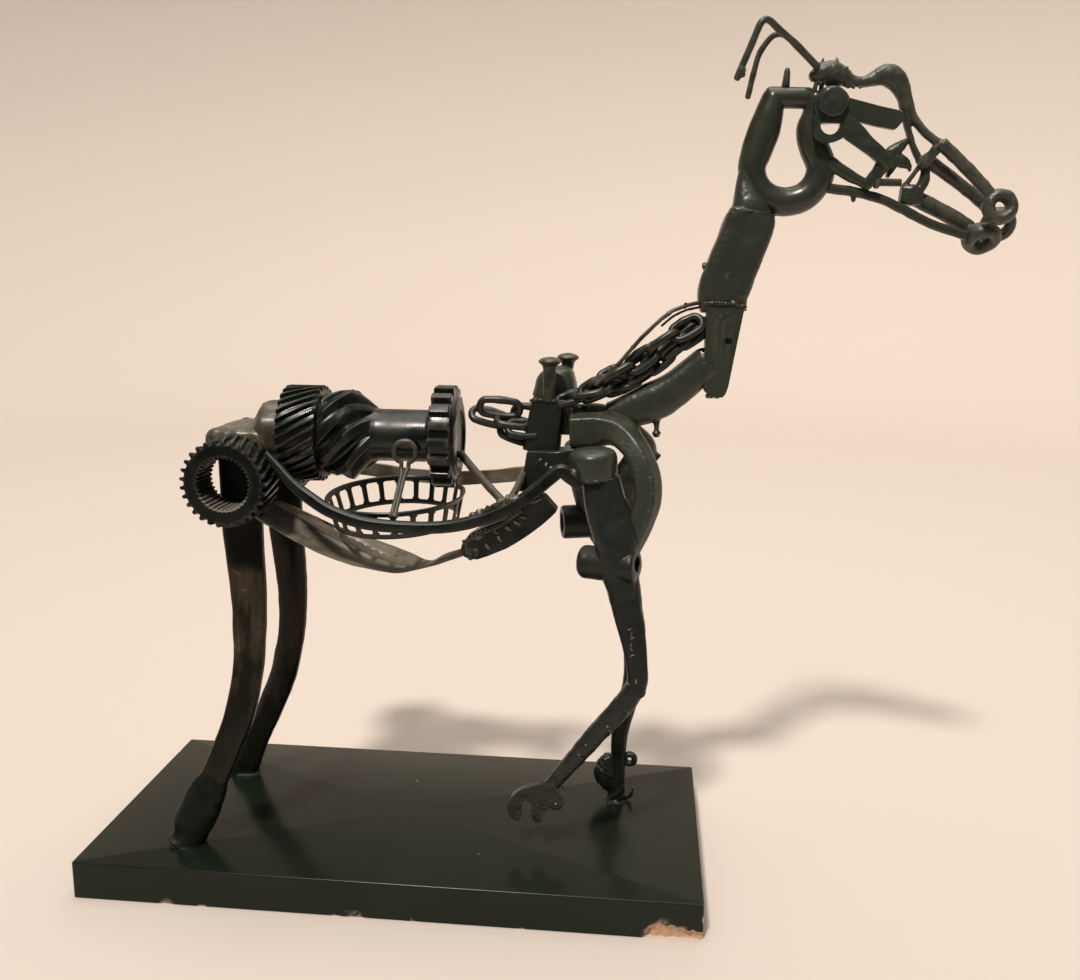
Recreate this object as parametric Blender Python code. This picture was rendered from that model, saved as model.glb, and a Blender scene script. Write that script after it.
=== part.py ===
"""Horse welded from scrap steel, standing on a painted board.

Every sub-part is one object with its own material, parented to the empty "horse".
Sizes and places are in millimetres and become metres when a mesh is made.
+X is the way the horse looks, +Y is its far side, +Z is up, and the origin is the
middle of the board's underside.
"""
import math

import bmesh
import bpy
from mathutils import Matrix, Vector

MM = 0.001
GAP = 0.3  # clearance between pieces that are welded together

# Board
BOARD_LENGTH, BOARD_DEPTH, BOARD_THICK = 400.0, 184.0, 25.0
BOARD_EDGE = 0.8
CHIP_LENGTH, CHIP_HEIGHT, CHIP_DEPTH = 36.0, 9.5, 4.0

# Hips: a ring gear on each side, both on one line along Y
HIP_X, HIP_Z = -102.8, 266.4
HIP_TIP_R, HIP_ROOT_R, HIP_BORE_R = 26.8, 23.4, 15.5
HIP_TEETH, HIP_GEAR_WIDE, HIP_HELIX = 29, 25.0, 12.0
HIP_NEAR_Y, HIP_FAR_Y = -56.0, 27.5
RUMP_R, RUMP_THICK = 30.2, 3.2

# Back: a gearbox cluster gear lying along X
SPINE_Y, SPINE_Z = -10.0, 293.0
SPINE_X0 = -93.5
HUB_R, BARREL_R, SHOULDER_R = 19.6, 16.7, 24.0
SPINE_X1 = 38.2
# Each wheel: rings of (X, root radius, tip radius), teeth, helix angle, half width of a land
FINE_GEAR = dict(rings=((-74.8, 28.4, 31.0), (-50.6, 28.4, 31.0)), teeth=30, helix=20.0, land=0.15)
COARSE_GEAR = dict(rings=((-49.8, 24.6, 29.6), (-37.5, 24.6, 29.6), (-25.0, 24.6, 29.0),
                          (-17.0, 17.6, 18.6)), teeth=10, helix=34.0, land=0.28)
END_GEAR = dict(rings=((22.3, 28.6, 32.8), (35.2, 28.6, 32.8)), teeth=20, helix=0.0, land=0.2)

# Belly
CAGE_TOP_R, CAGE_BOTTOM_R, CAGE_HIGH, CAGE_WALL = 45.0, 40.5, 18.5, 1.5
CAGE_X, CAGE_Y, CAGE_TOP_Z = -5.0, -10.0, 254.8
CAGE_WINDOWS, CAGE_RIM = 22, 3.0
CAGE_PITCH_DEG, CAGE_ROLL_DEG = 4.1, -1.8
BELLY_BAR_HIGH, BELLY_BAR_THICK = 7.8, 5.0
BAND_HIGH, BAND_THICK = 8.3, 2.0
SHEET_THICK = 1.4

# Chain
LINK_LONG, LINK_WIDE, LINK_WIRE_R = 24.0, 13.5, 1.7

# Neck and head
NECK_Y = -8.0
NECK_PLATE_X = 189.9
BOW_Y, BOW_R = -5.0, 8.2
PIN_R = 6.1

PAINT = {
    "enamel": ((0.030, 0.040, 0.034), 0.32, 0.35),
    "board_paint": ((0.040, 0.052, 0.036), 0.30, 0.0),
    "leg_steel": ((0.065, 0.050, 0.032), 0.42, 0.55),
    "strip_steel": ((0.235, 0.220, 0.180), 0.55, 0.45),
    "rusty_rod": ((0.085, 0.062, 0.045), 0.50, 0.45),
}


def clear_scene():
    """Removes every object, so that the script gives the same model each run."""
    for old in list(bpy.data.objects):
        bpy.data.objects.remove(old, do_unlink=True)


def material(name):
    """One Principled material from the paint table, made once."""
    if name in bpy.data.materials:
        return bpy.data.materials[name]
    color, rough, metal = PAINT[name]
    mat = bpy.data.materials.new(name)
    mat.use_nodes = True
    shader = mat.node_tree.nodes["Principled BSDF"]
    shader.inputs["Base Color"].default_value = (*color, 1.0)
    shader.inputs["Roughness"].default_value = rough
    shader.inputs["Metallic"].default_value = metal
    mat.diffuse_color = (*color, 1.0)
    return mat


def place(name, bm, finish):
    """Turns a bmesh in millimetres into a named object whose origin is its middle."""
    bmesh.ops.recalc_face_normals(bm, faces=bm.faces[:])
    low = Vector([min(v.co[i] for v in bm.verts) for i in range(3)])
    high = Vector([max(v.co[i] for v in bm.verts) for i in range(3)])
    middle = (low + high) / 2
    bmesh.ops.translate(bm, verts=bm.verts[:], vec=-middle)
    bmesh.ops.scale(bm, verts=bm.verts[:], vec=(MM, MM, MM))
    mesh = bpy.data.meshes.new(name)
    bm.to_mesh(mesh)
    bm.free()
    mesh.materials.append(material(finish))
    piece = bpy.data.objects.new(name, mesh)
    piece.location = middle * MM
    bpy.context.collection.objects.link(piece)
    piece.parent = bpy.data.objects["horse"]
    return piece


def shade(piece, degrees=40.0):
    """Smooth shading with sharp edges above the given angle."""
    piece.data.shade_smooth()
    piece.data.set_sharp_from_angle(angle=math.radians(degrees))
    return piece


def smooth_route(points, count):
    """Catmull-Rom curve through rows of numbers, read at evenly spaced parameters."""
    rows = [Vector(p) for p in points]
    rows = [2 * rows[0] - rows[1]] + rows + [2 * rows[-1] - rows[-2]]
    spans = len(rows) - 3
    route = []
    for i in range(count):
        u = spans * i / (count - 1)
        k = min(int(u), spans - 1)
        t = u - k
        a, b, c, d = rows[k:k + 4]
        route.append(0.5 * (2 * b + (c - a) * t + (2 * a - 5 * b + 4 * c - d) * t * t
                            + (3 * b - a - 3 * c + d) * t ** 3))
    return route


def ring_points(centre, side, up, half_wide, half_up, sides, power):
    """One super-ellipse section: power 2 is an ellipse, higher is squarer."""
    ring = []
    for i in range(sides):
        angle = 2 * math.pi * (i + 0.5) / sides
        c, s = math.cos(angle), math.sin(angle)
        x = math.copysign(abs(c) ** (2 / power), c) * half_wide
        y = math.copysign(abs(s) ** (2 / power), s) * half_up
        ring.append(centre + side * x + up * y)
    return ring


def bridge(bm, rings, loop=False, caps=True):
    """Quads between neighbouring rings, with flat caps unless the rings form a loop."""
    made = [[bm.verts.new(p) for p in ring] for ring in rings]
    sides = len(made[0])
    pairs = list(zip(made, made[1:]))
    if loop:
        pairs.append((made[-1], made[0]))
    for low, high in pairs:
        for i in range(sides):
            j = (i + 1) % sides
            bm.faces.new((low[i], low[j], high[j], high[i]))
    if caps and not loop:
        bm.faces.new(made[0])
        bm.faces.new(made[-1])
    return made


def loft(bm, stations, count=0, sides=8, power=2.0, up=(0, 1, 0), end_round=0.0):
    """Sweeps a section along stations of (x, y, z, half width, half depth).

    The width lies in the plane across `up`, the depth along it. end_round pulls the
    last ring at each end in by that share and moves it out, which rounds the ends.
    """
    rows = smooth_route(stations, count) if count else [Vector(s) for s in stations]
    centres = [Vector(r[:3]) for r in rows]
    halves = [(r[3], r[4]) for r in rows]
    axis_up = Vector(up).normalized()
    tangents = []
    for i in range(len(centres)):
        after = centres[min(i + 1, len(centres) - 1)]
        before = centres[max(i - 1, 0)]
        tangents.append((after - before).normalized())
    rings = []
    for centre, tangent, (a, b) in zip(centres, tangents, halves):
        side = axis_up.cross(tangent).normalized()
        depth = tangent.cross(side).normalized()
        rings.append(ring_points(centre, side, depth, a, b, sides, power))
    if end_round:
        for end, tangent in ((0, -tangents[0]), (-1, tangents[-1])):
            shift = tangent * (halves[end][0] * end_round)
            middle = centres[end] + shift
            tip = [middle + (p - centres[end]) * (1 - end_round) for p in rings[end]]
            if end == 0:
                rings.insert(0, tip)
            else:
                rings.append(tip)
    bridge(bm, rings)


def lofted(name, finish, stations, **how):
    """A lofted bar as one object."""
    bm = bmesh.new()
    loft(bm, stations, **how)
    return shade(place(name, bm, finish))


def rod(name, finish, route, radius, count=0, resolution=2, closed=False):
    """Round wire or rod: a poly curve with a bevel, turned into a mesh."""
    points = smooth_route(route, count) if count else [Vector(p) for p in route]
    middle = points[0]
    curve = bpy.data.curves.new(name, "CURVE")
    curve.dimensions = "3D"
    curve.bevel_depth = radius * MM
    curve.bevel_resolution = resolution
    curve.use_fill_caps = True
    spline = curve.splines.new("POLY")
    spline.points.add(len(points) - 1)
    for spot, point in zip(spline.points, points):
        spot.co = (*((point - middle) * MM), 1.0)
    spline.use_cyclic_u = closed
    guide = bpy.data.objects.new(name + "_guide", curve)
    bpy.context.collection.objects.link(guide)
    mesh = bpy.data.meshes.new_from_object(guide.evaluated_get(
        bpy.context.evaluated_depsgraph_get()))
    bpy.data.objects.remove(guide, do_unlink=True)
    bm = bmesh.new()
    bm.from_mesh(mesh)
    bpy.data.meshes.remove(mesh)
    bmesh.ops.remove_doubles(bm, verts=bm.verts[:], dist=0.0000005)
    bmesh.ops.scale(bm, verts=bm.verts[:], vec=(1 / MM, 1 / MM, 1 / MM))
    bmesh.ops.translate(bm, verts=bm.verts[:], vec=middle)
    return shade(place(name, bm, finish))


def plate(bm, outline, y0, y1):
    """Extrudes an outline of (x, z) points from y0 to y1."""
    front = [Vector((x, y0, z)) for x, z in outline]
    back = [Vector((x, y1, z)) for x, z in outline]
    bridge(bm, [front, back])


def arc(cx, cz, radius, start, stop, count):
    """Points of an arc in the XZ plane, angles in degrees from +X towards +Z."""
    points = []
    for i in range(count):
        angle = math.radians(start + (stop - start) * i / (count - 1))
        points.append((cx + radius * math.cos(angle), cz + radius * math.sin(angle)))
    return points


def turned(bm, profile, centre, axis, sides=16):
    """Turns a profile of (distance along the axis, radius) about the axis."""
    along = Vector(axis).normalized()
    helper = Vector((0, 0, 1)) if abs(along.z) < 0.9 else Vector((1, 0, 0))
    side = along.cross(helper).normalized()
    up = side.cross(along).normalized()
    rings = [ring_points(Vector(centre) + along * d, side, up, r, r, sides, 2.0)
             for d, r in profile]
    bridge(bm, rings)


def turned_piece(name, finish, profile, centre, axis, sides=16):
    """A turned body as one object."""
    bm = bmesh.new()
    turned(bm, profile, centre, axis, sides)
    return shade(place(name, bm, finish))


def gear_section(teeth, root, tip, land, turn):
    """Closed tooth outline as (angle, radius) pairs: a valley and the two ends of a land."""
    pitch = 2 * math.pi / teeth
    section = []
    for k in range(teeth):
        base = k * pitch + turn
        for share, radius in ((-0.5, root), (-land, tip), (land, tip)):
            section.append((base + share * pitch, radius))
    return section


def gear(bm, centre, axis, rings, teeth, helix, land):
    """Toothed wheel: the tooth outline is carried along the axis and turned by the helix."""
    along = Vector(axis).normalized()
    side = along.cross(Vector((0, 0, 1))).normalized()
    up = side.cross(along).normalized()
    start, _, first_tip = rings[0]
    lead = math.tan(math.radians(helix)) / first_tip
    made = []
    for distance, root, tip in rings:
        spot = Vector(centre) + along * distance
        made.append([spot + (side * math.cos(a) + up * math.sin(a)) * r
                     for a, r in gear_section(teeth, root, tip, land, (distance - start) * lead)])
    bridge(bm, made)


def hidden(name, bm):
    """A cutter: hidden in renders, drawn as wire and left out of the model."""
    cutter = place(name, bm, "enamel")
    cutter.hide_render = True
    cutter.display_type = "WIRE"
    return cutter


def combine(piece, others, operation):
    """Exact Boolean with each of the others, which are then removed."""
    for other in others:
        step = piece.modifiers.new(operation.lower(), "BOOLEAN")
        step.operation = operation
        step.solver = "EXACT"
        step.object = other
    settle(piece)
    for other in others:
        bpy.data.objects.remove(other, do_unlink=True)
    return shade(piece)


def settle(piece):
    """Applies the modifiers and keeps the largest closed body of the result."""
    bpy.context.view_layer.update()
    graph = bpy.context.evaluated_depsgraph_get()
    mesh = bpy.data.meshes.new_from_object(piece.evaluated_get(graph))
    piece.modifiers.clear()
    bm = bmesh.new()
    bm.from_mesh(mesh)
    bmesh.ops.remove_doubles(bm, verts=bm.verts[:], dist=0.000002)
    bmesh.ops.dissolve_degenerate(bm, edges=bm.edges[:], dist=0.000002)
    keep = largest_body(bm)
    spare = [v for v in bm.verts if v not in keep]
    bmesh.ops.delete(bm, geom=spare, context="VERTS")
    bm.to_mesh(mesh)
    bm.free()
    old = piece.data
    piece.data = mesh
    bpy.data.meshes.remove(old)


def largest_body(bm):
    """The set of vertices of the connected body with the largest box."""
    left = set(bm.verts)
    best, best_size = set(), -1.0
    while left:
        seed = left.pop()
        body, front = {seed}, [seed]
        while front:
            vert = front.pop()
            for edge in vert.link_edges:
                other = edge.other_vert(vert)
                if other not in body:
                    body.add(other)
                    front.append(other)
        left -= body
        size = sum(max(v.co[i] for v in body) - min(v.co[i] for v in body) for i in range(3))
        if size > best_size:
            best, best_size = body, size
    return best


def carve(piece, *neighbours):
    """Cuts a piece clear of its neighbours, which are first grown by the gap."""
    cutters = []
    for neighbour in neighbours:
        bm = bmesh.new()
        bm.from_mesh(neighbour.data)
        bm.normal_update()
        moves = [(v, v.normal * (GAP * MM * min(v.calc_shell_factor(), 2.0))) for v in bm.verts]
        for vert, move in moves:
            vert.co += move
        bmesh.ops.translate(bm, verts=bm.verts[:], vec=neighbour.location)
        bmesh.ops.scale(bm, verts=bm.verts[:], vec=(1 / MM, 1 / MM, 1 / MM))
        cutters.append(hidden("cutter_" + neighbour.name, bm))
    return combine(piece, cutters, "DIFFERENCE")


def drilled(piece, centre, axis, radius, half_long, sides=16):
    """Cuts a round hole right through a piece."""
    bm = bmesh.new()
    turned(bm, ((-half_long, radius), (half_long, radius)), centre, axis, sides)
    return combine(piece, [hidden("drill", bm)], "DIFFERENCE")


def merged(name, finish, builders):
    """One casting: the union of several simple bodies, each built by a function."""
    bodies = []
    for i, build in enumerate(builders):
        bm = bmesh.new()
        build(bm)
        bodies.append(place(name if i == 0 else name + "_body", bm, finish))
    return combine(bodies[0], bodies[1:], "UNION")


def make_board():
    """Painted board with broken paint and wood at one lower corner."""
    x, y = BOARD_LENGTH / 2, BOARD_DEPTH / 2
    bm = bmesh.new()
    plate(bm, ((-x, 0), (x, 0), (x, BOARD_THICK), (-x, BOARD_THICK)), -y, y)
    board = place("plinth", bm, "board_paint")
    edge = board.modifiers.new("edge", "BEVEL")
    edge.width = BOARD_EDGE * MM
    edge.segments = 1
    settle(board)
    bm = bmesh.new()
    left, right = x - CHIP_LENGTH, x + 2
    outline = ((left, -2), (right, -2), (right, 4.2), (x - 5, 5.0), (x - 14, 6.2),
               (x - 22, 8.0), (x - 28, CHIP_HEIGHT), (x - 32, 4.0))
    front = [Vector((a, -y - 2, b)) for a, b in outline]
    back = [Vector((a + 1, -y + CHIP_DEPTH, min(b, 0.6 * b))) for a, b in outline]
    bridge(bm, [front, back])
    return combine(board, [hidden("chip", bm)], "DIFFERENCE")


def make_hips():
    """Two ring gears and the curved plate that bridges them over the legs."""
    gears = []
    for name, y0 in (("hip_gear_near", HIP_NEAR_Y), ("hip_gear_far", HIP_FAR_Y)):
        bm = bmesh.new()
        rings = [(y, HIP_ROOT_R, HIP_TIP_R) for y in (y0, y0 + HIP_GEAR_WIDE)]
        gear(bm, (HIP_X, 0, HIP_Z), (0, 1, 0), rings, HIP_TEETH, HIP_HELIX, 0.16)
        wheel = shade(place(name, bm, "enamel"))
        drilled(wheel, (HIP_X, y0 + HIP_GEAR_WIDE / 2, HIP_Z), (0, 1, 0), HIP_BORE_R, 20, 16)
        gears.append(wheel)
    outer = arc(HIP_X, HIP_Z, RUMP_R, 123, 62, 8)
    inner = arc(HIP_X, HIP_Z, RUMP_R - RUMP_THICK, 62, 123, 8)
    bm = bmesh.new()
    plate(bm, outer + inner, HIP_NEAR_Y + HIP_GEAR_WIDE + GAP, HIP_FAR_Y - GAP)
    return gears, shade(place("rump_plate", bm, "enamel"))


def make_hind_legs():
    """Two broad curved bars, each ending in a small bent hoof on the board."""
    near = lofted("hind_leg_near", "leg_steel", (
        (-101.5, -26.2, 288, 13.6, 4.4), (-101.5, -26.2, 262, 13.6, 4.4),
        (-101.0, -26.4, 235, 13.6, 4.4), (-97.8, -30.5, 194, 12.0, 4.5),
        (-96.6, -37.0, 158, 10.0, 4.8), (-97.6, -43.0, 133, 9.8, 5.0),
        (-104.5, -48.5, 108, 9.4, 5.0), (-112.0, -52.0, 88, 9.3, 5.0),
        (-119.0, -55.0, 70, 9.5, 5.0)), count=9, sides=8, power=3.0)
    far = lofted("hind_leg_far", "leg_steel", (
        (-91.5, 22.6, 287, 12.4, 4.3), (-91.2, 22.6, 255, 12.4, 4.3),
        (-90.6, 22.8, 222, 12.0, 4.3), (-89.0, 26.5, 180, 10.4, 4.5),
        (-91.5, 30.5, 147, 9.4, 4.8), (-98.5, 33.5, 115, 9.4, 4.8),
        (-110.5, 37.5, 85, 9.4, 4.8), (-123.5, 40.5, 58, 9.0, 4.8),
        (-131.5, 42.0, 38, 8.8, 4.8)), count=9, sides=8, power=3.0)
    hoof_near = lofted("hind_hoof_near", "enamel", (
        (-119.6, -55.4, 69.0, 11.5, 6.5), (-124.5, -57.0, 56, 12.4, 7.0),
        (-133.8, -58.5, 38, 12.4, 7.0), (-136.0, -59.4, 30.5, 10.0, 6.6),
        (-138.5, -60.0, BOARD_THICK + GAP, 14.0, 9.0)), sides=8, power=2.6, up=(0, 1, 0.2))
    hoof_far = lofted("hind_hoof_far", "enamel", (
        (-132.2, 42.2, 36.8, 10.0, 6.4), (-135.2, 43.0, 31.5, 10.4, 6.4),
        (-137.0, 43.4, BOARD_THICK + GAP, 11.8, 8.0)), sides=8, power=2.6, up=(0, 1, 0.2))
    level_foot(hoof_near)
    level_foot(hoof_far)
    return near, far, hoof_near, hoof_far


def level_foot(hoof, level=BOARD_THICK + GAP):
    """Cuts a hoof flat, just clear of the board's top."""
    bm = bmesh.new()
    plate(bm, ((-300, 0), (300, 0), (300, level), (-300, level)), -200, 200)
    return combine(hoof, [hidden("ground", bm)], "DIFFERENCE")


def make_spine():
    """Cluster gear from a gearbox: hub, fine gear, coarse gear, barrel and end gear."""
    centre, along = (0, SPINE_Y, SPINE_Z), (1, 0, 0)

    def barrel(bm):
        fine, end = FINE_GEAR["rings"], END_GEAR["rings"]
        turned(bm, ((SPINE_X0, 13.5), (SPINE_X0 + 3, 17.5), (SPINE_X0 + 7, HUB_R),
                    (fine[0][0] + 1, HUB_R), (fine[1][0] - 1, 22.0),
                    (COARSE_GEAR["rings"][0][0] + 1, 22.0),
                    (COARSE_GEAR["rings"][0][0] + 2, BARREL_R), (end[1][0] - 2, BARREL_R),
                    (end[1][0] - 1, SHOULDER_R), (SPINE_X1, SHOULDER_R - 1.4)),
               centre, along, 14)

    def wheel(size):
        return lambda bm: gear(bm, centre, along, **size)

    return merged("cluster_gear", "enamel",
                  (barrel, wheel(FINE_GEAR), wheel(COARSE_GEAR), wheel(END_GEAR)))


def make_eye_pin():
    """Split pin: an eye against the barrel, its legs down on the rim of the cage."""
    eye = (6.2, -28.5, 287.0)
    eye_r = 6.4

    def ring(bm):
        rings = []
        for i in range(10):
            a = 2 * math.pi * i / 10
            out = Vector((math.cos(a), 0, math.sin(a)))
            rings.append(ring_points(Vector(eye) + out * eye_r, out, Vector((0, 1, 0)),
                                     1.5, 1.5, 6, 2.0))
        bridge(bm, rings, loop=True)

    def stem(bm):
        loft(bm, ((6.1, -28.8, 281.2, 2.6, 1.5), (5.7, -31, 275, 2.0, 1.6),
                  (5.9, -51.5, 256, 1.9, 1.6), (6.0, -54.2, 251.2, 2.6, 2.0)), sides=6)

    return merged("eye_pin", "rusty_rod", (ring, stem))


def make_cage():
    """Roller cage of a taper bearing: a thin cone with a row of windows."""
    bm = bmesh.new()
    columns = 2 * CAGE_WINDOWS
    bar_share = 0.30
    levels = (0.0, CAGE_RIM, CAGE_HIGH - CAGE_RIM, CAGE_HIGH)
    grid = []
    for level in levels:
        radius = CAGE_BOTTOM_R + (CAGE_TOP_R - CAGE_BOTTOM_R) * level / CAGE_HIGH
        row = []
        for k in range(columns):
            turn = (k // 2 + (bar_share if k % 2 else 0.0)) / CAGE_WINDOWS
            angle = 2 * math.pi * turn
            row.append(bm.verts.new((radius * math.cos(angle), radius * math.sin(angle),
                                     level - CAGE_HIGH)))
        grid.append(row)
    for r in range(len(levels) - 1):
        for k in range(columns):
            if r == 1 and k % 2:
                continue
            j = (k + 1) % columns
            bm.faces.new((grid[r][k], grid[r][j], grid[r + 1][j], grid[r + 1][k]))
    turn = Matrix.Rotation(math.radians(CAGE_PITCH_DEG), 4, "X")
    turn = Matrix.Rotation(math.radians(CAGE_ROLL_DEG), 4, "Y") @ turn
    bmesh.ops.transform(bm, matrix=turn, verts=bm.verts[:])
    bmesh.ops.translate(bm, verts=bm.verts[:], vec=(CAGE_X, CAGE_Y, CAGE_TOP_Z))
    cage = place("bearing_cage", bm, "enamel")
    wall = cage.modifiers.new("wall", "SOLIDIFY")
    wall.thickness = CAGE_WALL * MM
    wall.offset = -1.0
    settle(cage)
    return shade(cage, 60)


def make_belly():
    """The bars, strips, struts and toothed piece that close the belly."""
    high, thick = BELLY_BAR_HIGH / 2, BELLY_BAR_THICK / 2
    bar = lofted("belly_bar_near", "enamel", (
        (-79.5, -43.5, 286, high, thick), (-71.5, -47, 279, high, thick),
        (-60, -51.5, 268.5, high, thick), (-48, -54.5, 259.3, high, thick),
        (-33.9, -57, 251.8, high, thick), (-13.4, -58.2, 245.9, high, thick),
        (12.7, -58.4, 244.1, high, thick), (37, -58.2, 245.3, high, thick),
        (57.5, -57.5, 250.0, high, thick), (72.8, -56.5, 256.7, high, thick),
        (87, -54, 266.4, high, thick), (100, -50.5, 276.5, high, thick),
        (107, -50.5, 276.0, high, thick), (114.5, -50, 269.0, 3.2, thick)),
        count=18, sides=4, power=8.0)
    band = lofted("belly_band_far", "strip_steel", (
        (-76, 52, 262.0, BAND_HIGH / 2, 1.0), (-33, 46, 257.4, BAND_HIGH / 2, 1.0),
        (0, 44, 253.2, BAND_HIGH / 2, 1.0), (36, 42, 252.6, BAND_HIGH / 2, 1.0),
        (73, 38, 257.8, BAND_HIGH / 2, 1.0), (107, 30, 265.5, BAND_HIGH / 2, 1.0)),
        count=10, sides=4, power=8.0)
    sheet = make_sheet()
    rear = rod("strut_rear", "rusty_rod", ((37.0, -8.2, 282.0), (73.4, -57.0, 259.0)), 1.6)
    front = rod("strut_front", "rusty_rod", ((77.0, -56.0, 262.0), (80.6, -22.0, 273.4)), 1.6)
    segment = make_segment()
    return bar, band, sheet, rear, front, segment


def make_sheet():
    """Thin creased strip slung under the belly, drawn out to a tongue in front."""
    near = smooth_route(((-94, -31, 243), (-82, -33, 236.5), (-63, -37, 228), (-40, -40, 219),
                         (-17, -41, 213.4), (2, -38, 210.6), (16, -36, 212.8),
                         (30.3, -42, 218.4), (48.7, -50, 227.1)), 10)
    far = smooth_route(((-84, -2, 247), (-66, -2, 240), (-46, -3, 231), (-26, -4, 224.5),
                        (-6, -6, 217.6), (11.3, -16, 214.7), (21.8, -28, 215.5),
                        (32.2, -36, 222.3), (49.6, -45, 231.0)), 10)
    bm = bmesh.new()
    rings = []
    for a, b in zip(near, far):
        across = b - a
        lift = Vector((0, 0, 1))
        fold = 0.05 * across.length
        line = [a, a + across * 0.34 + lift * fold, a + across * 0.67 - lift * fold, b]
        under = [p - lift * SHEET_THICK for p in reversed(line)]
        rings.append(line + under)
    bridge(bm, rings)
    return shade(place("belly_sheet", bm, "strip_steel"), 20)


def make_segment():
    """Piece of a toothed ring, leaning up behind the belly bar."""
    centre_x, centre_z = 42.0, 306.0
    root_r, tip_r, inner_r = 79.5, 82.5, 62.0
    start, stop, teeth = -88.0, -39.0, 10
    outline = []
    for k in range(teeth):
        for share, radius in ((0.0, root_r), (0.3, tip_r), (0.7, tip_r)):
            angle = math.radians(start + (stop - start) * (k + share) / teeth)
            outline.append((centre_x + radius * math.cos(angle),
                            centre_z + radius * math.sin(angle)))
    outline += [(97.0, 263.4)] + arc(centre_x, centre_z, inner_r, stop - 5, start, 6)
    bm = bmesh.new()
    plate(bm, outline, -55.0, -43.5)
    return shade(place("toothed_segment", bm, "enamel"), 20)


def make_withers():
    """Socket, dome, two round-headed bolts, the post below and the rib beside it."""
    socket = lofted("withers_socket", "enamel", (
        (90.4, -12, 287.2, 11.6, 11.5), (94.6, -12, 318.2, 10.4, 11.5)), sides=8, power=6.0)
    dome = lofted("withers_dome", "enamel", (
        (97.4, -1, 318.6, 14.4, 12.5), (99.0, 0, 329, 12.6, 12.2), (100.4, 0, 335.4, 10.2, 10.4),
        (100.6, 0, 337.4, 7.0, 7.6)), sides=10, power=2.6)
    head = ((0, 4.0), (22.2, 4.0), (23.6, 7.2), (24.8, 7.3), (26.6, 5.6), (27.4, 2.6))
    near = turned_piece("withers_bolt_near", "rusty_rod", head, (95.4, -22, 318.8), (0, 0, 1), 8)
    short = tuple((max(d - 16.6, 0.0), r) for d, r in head)
    far = turned_piece("withers_bolt_far", "rusty_rod", short, (104.8, 5, 336.0), (0, 0, 1), 8)
    carve(dome, near, far)
    carve(socket, near)
    bm = bmesh.new()
    outline = ((82.5, 288), (102, 288), (113.5, 290.5), (114.2, 279), (104, 279.0), (97, 275.5),
               (91, 269), (86, 263), (77.5, 262), (78.5, 268), (81.5, 279))
    plate(bm, outline, -29, -7)
    post = shade(place("withers_post", bm, "enamel"))
    carve(post, socket)
    bm = bmesh.new()
    plate(bm, ((102.6, 297), (108.2, 297), (110.4, 318), (105.6, 318)), -16, -6)
    rib = place("withers_rib", bm, "enamel")
    carve(rib, socket, dome)
    return socket, dome, near, far, post, rib


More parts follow.
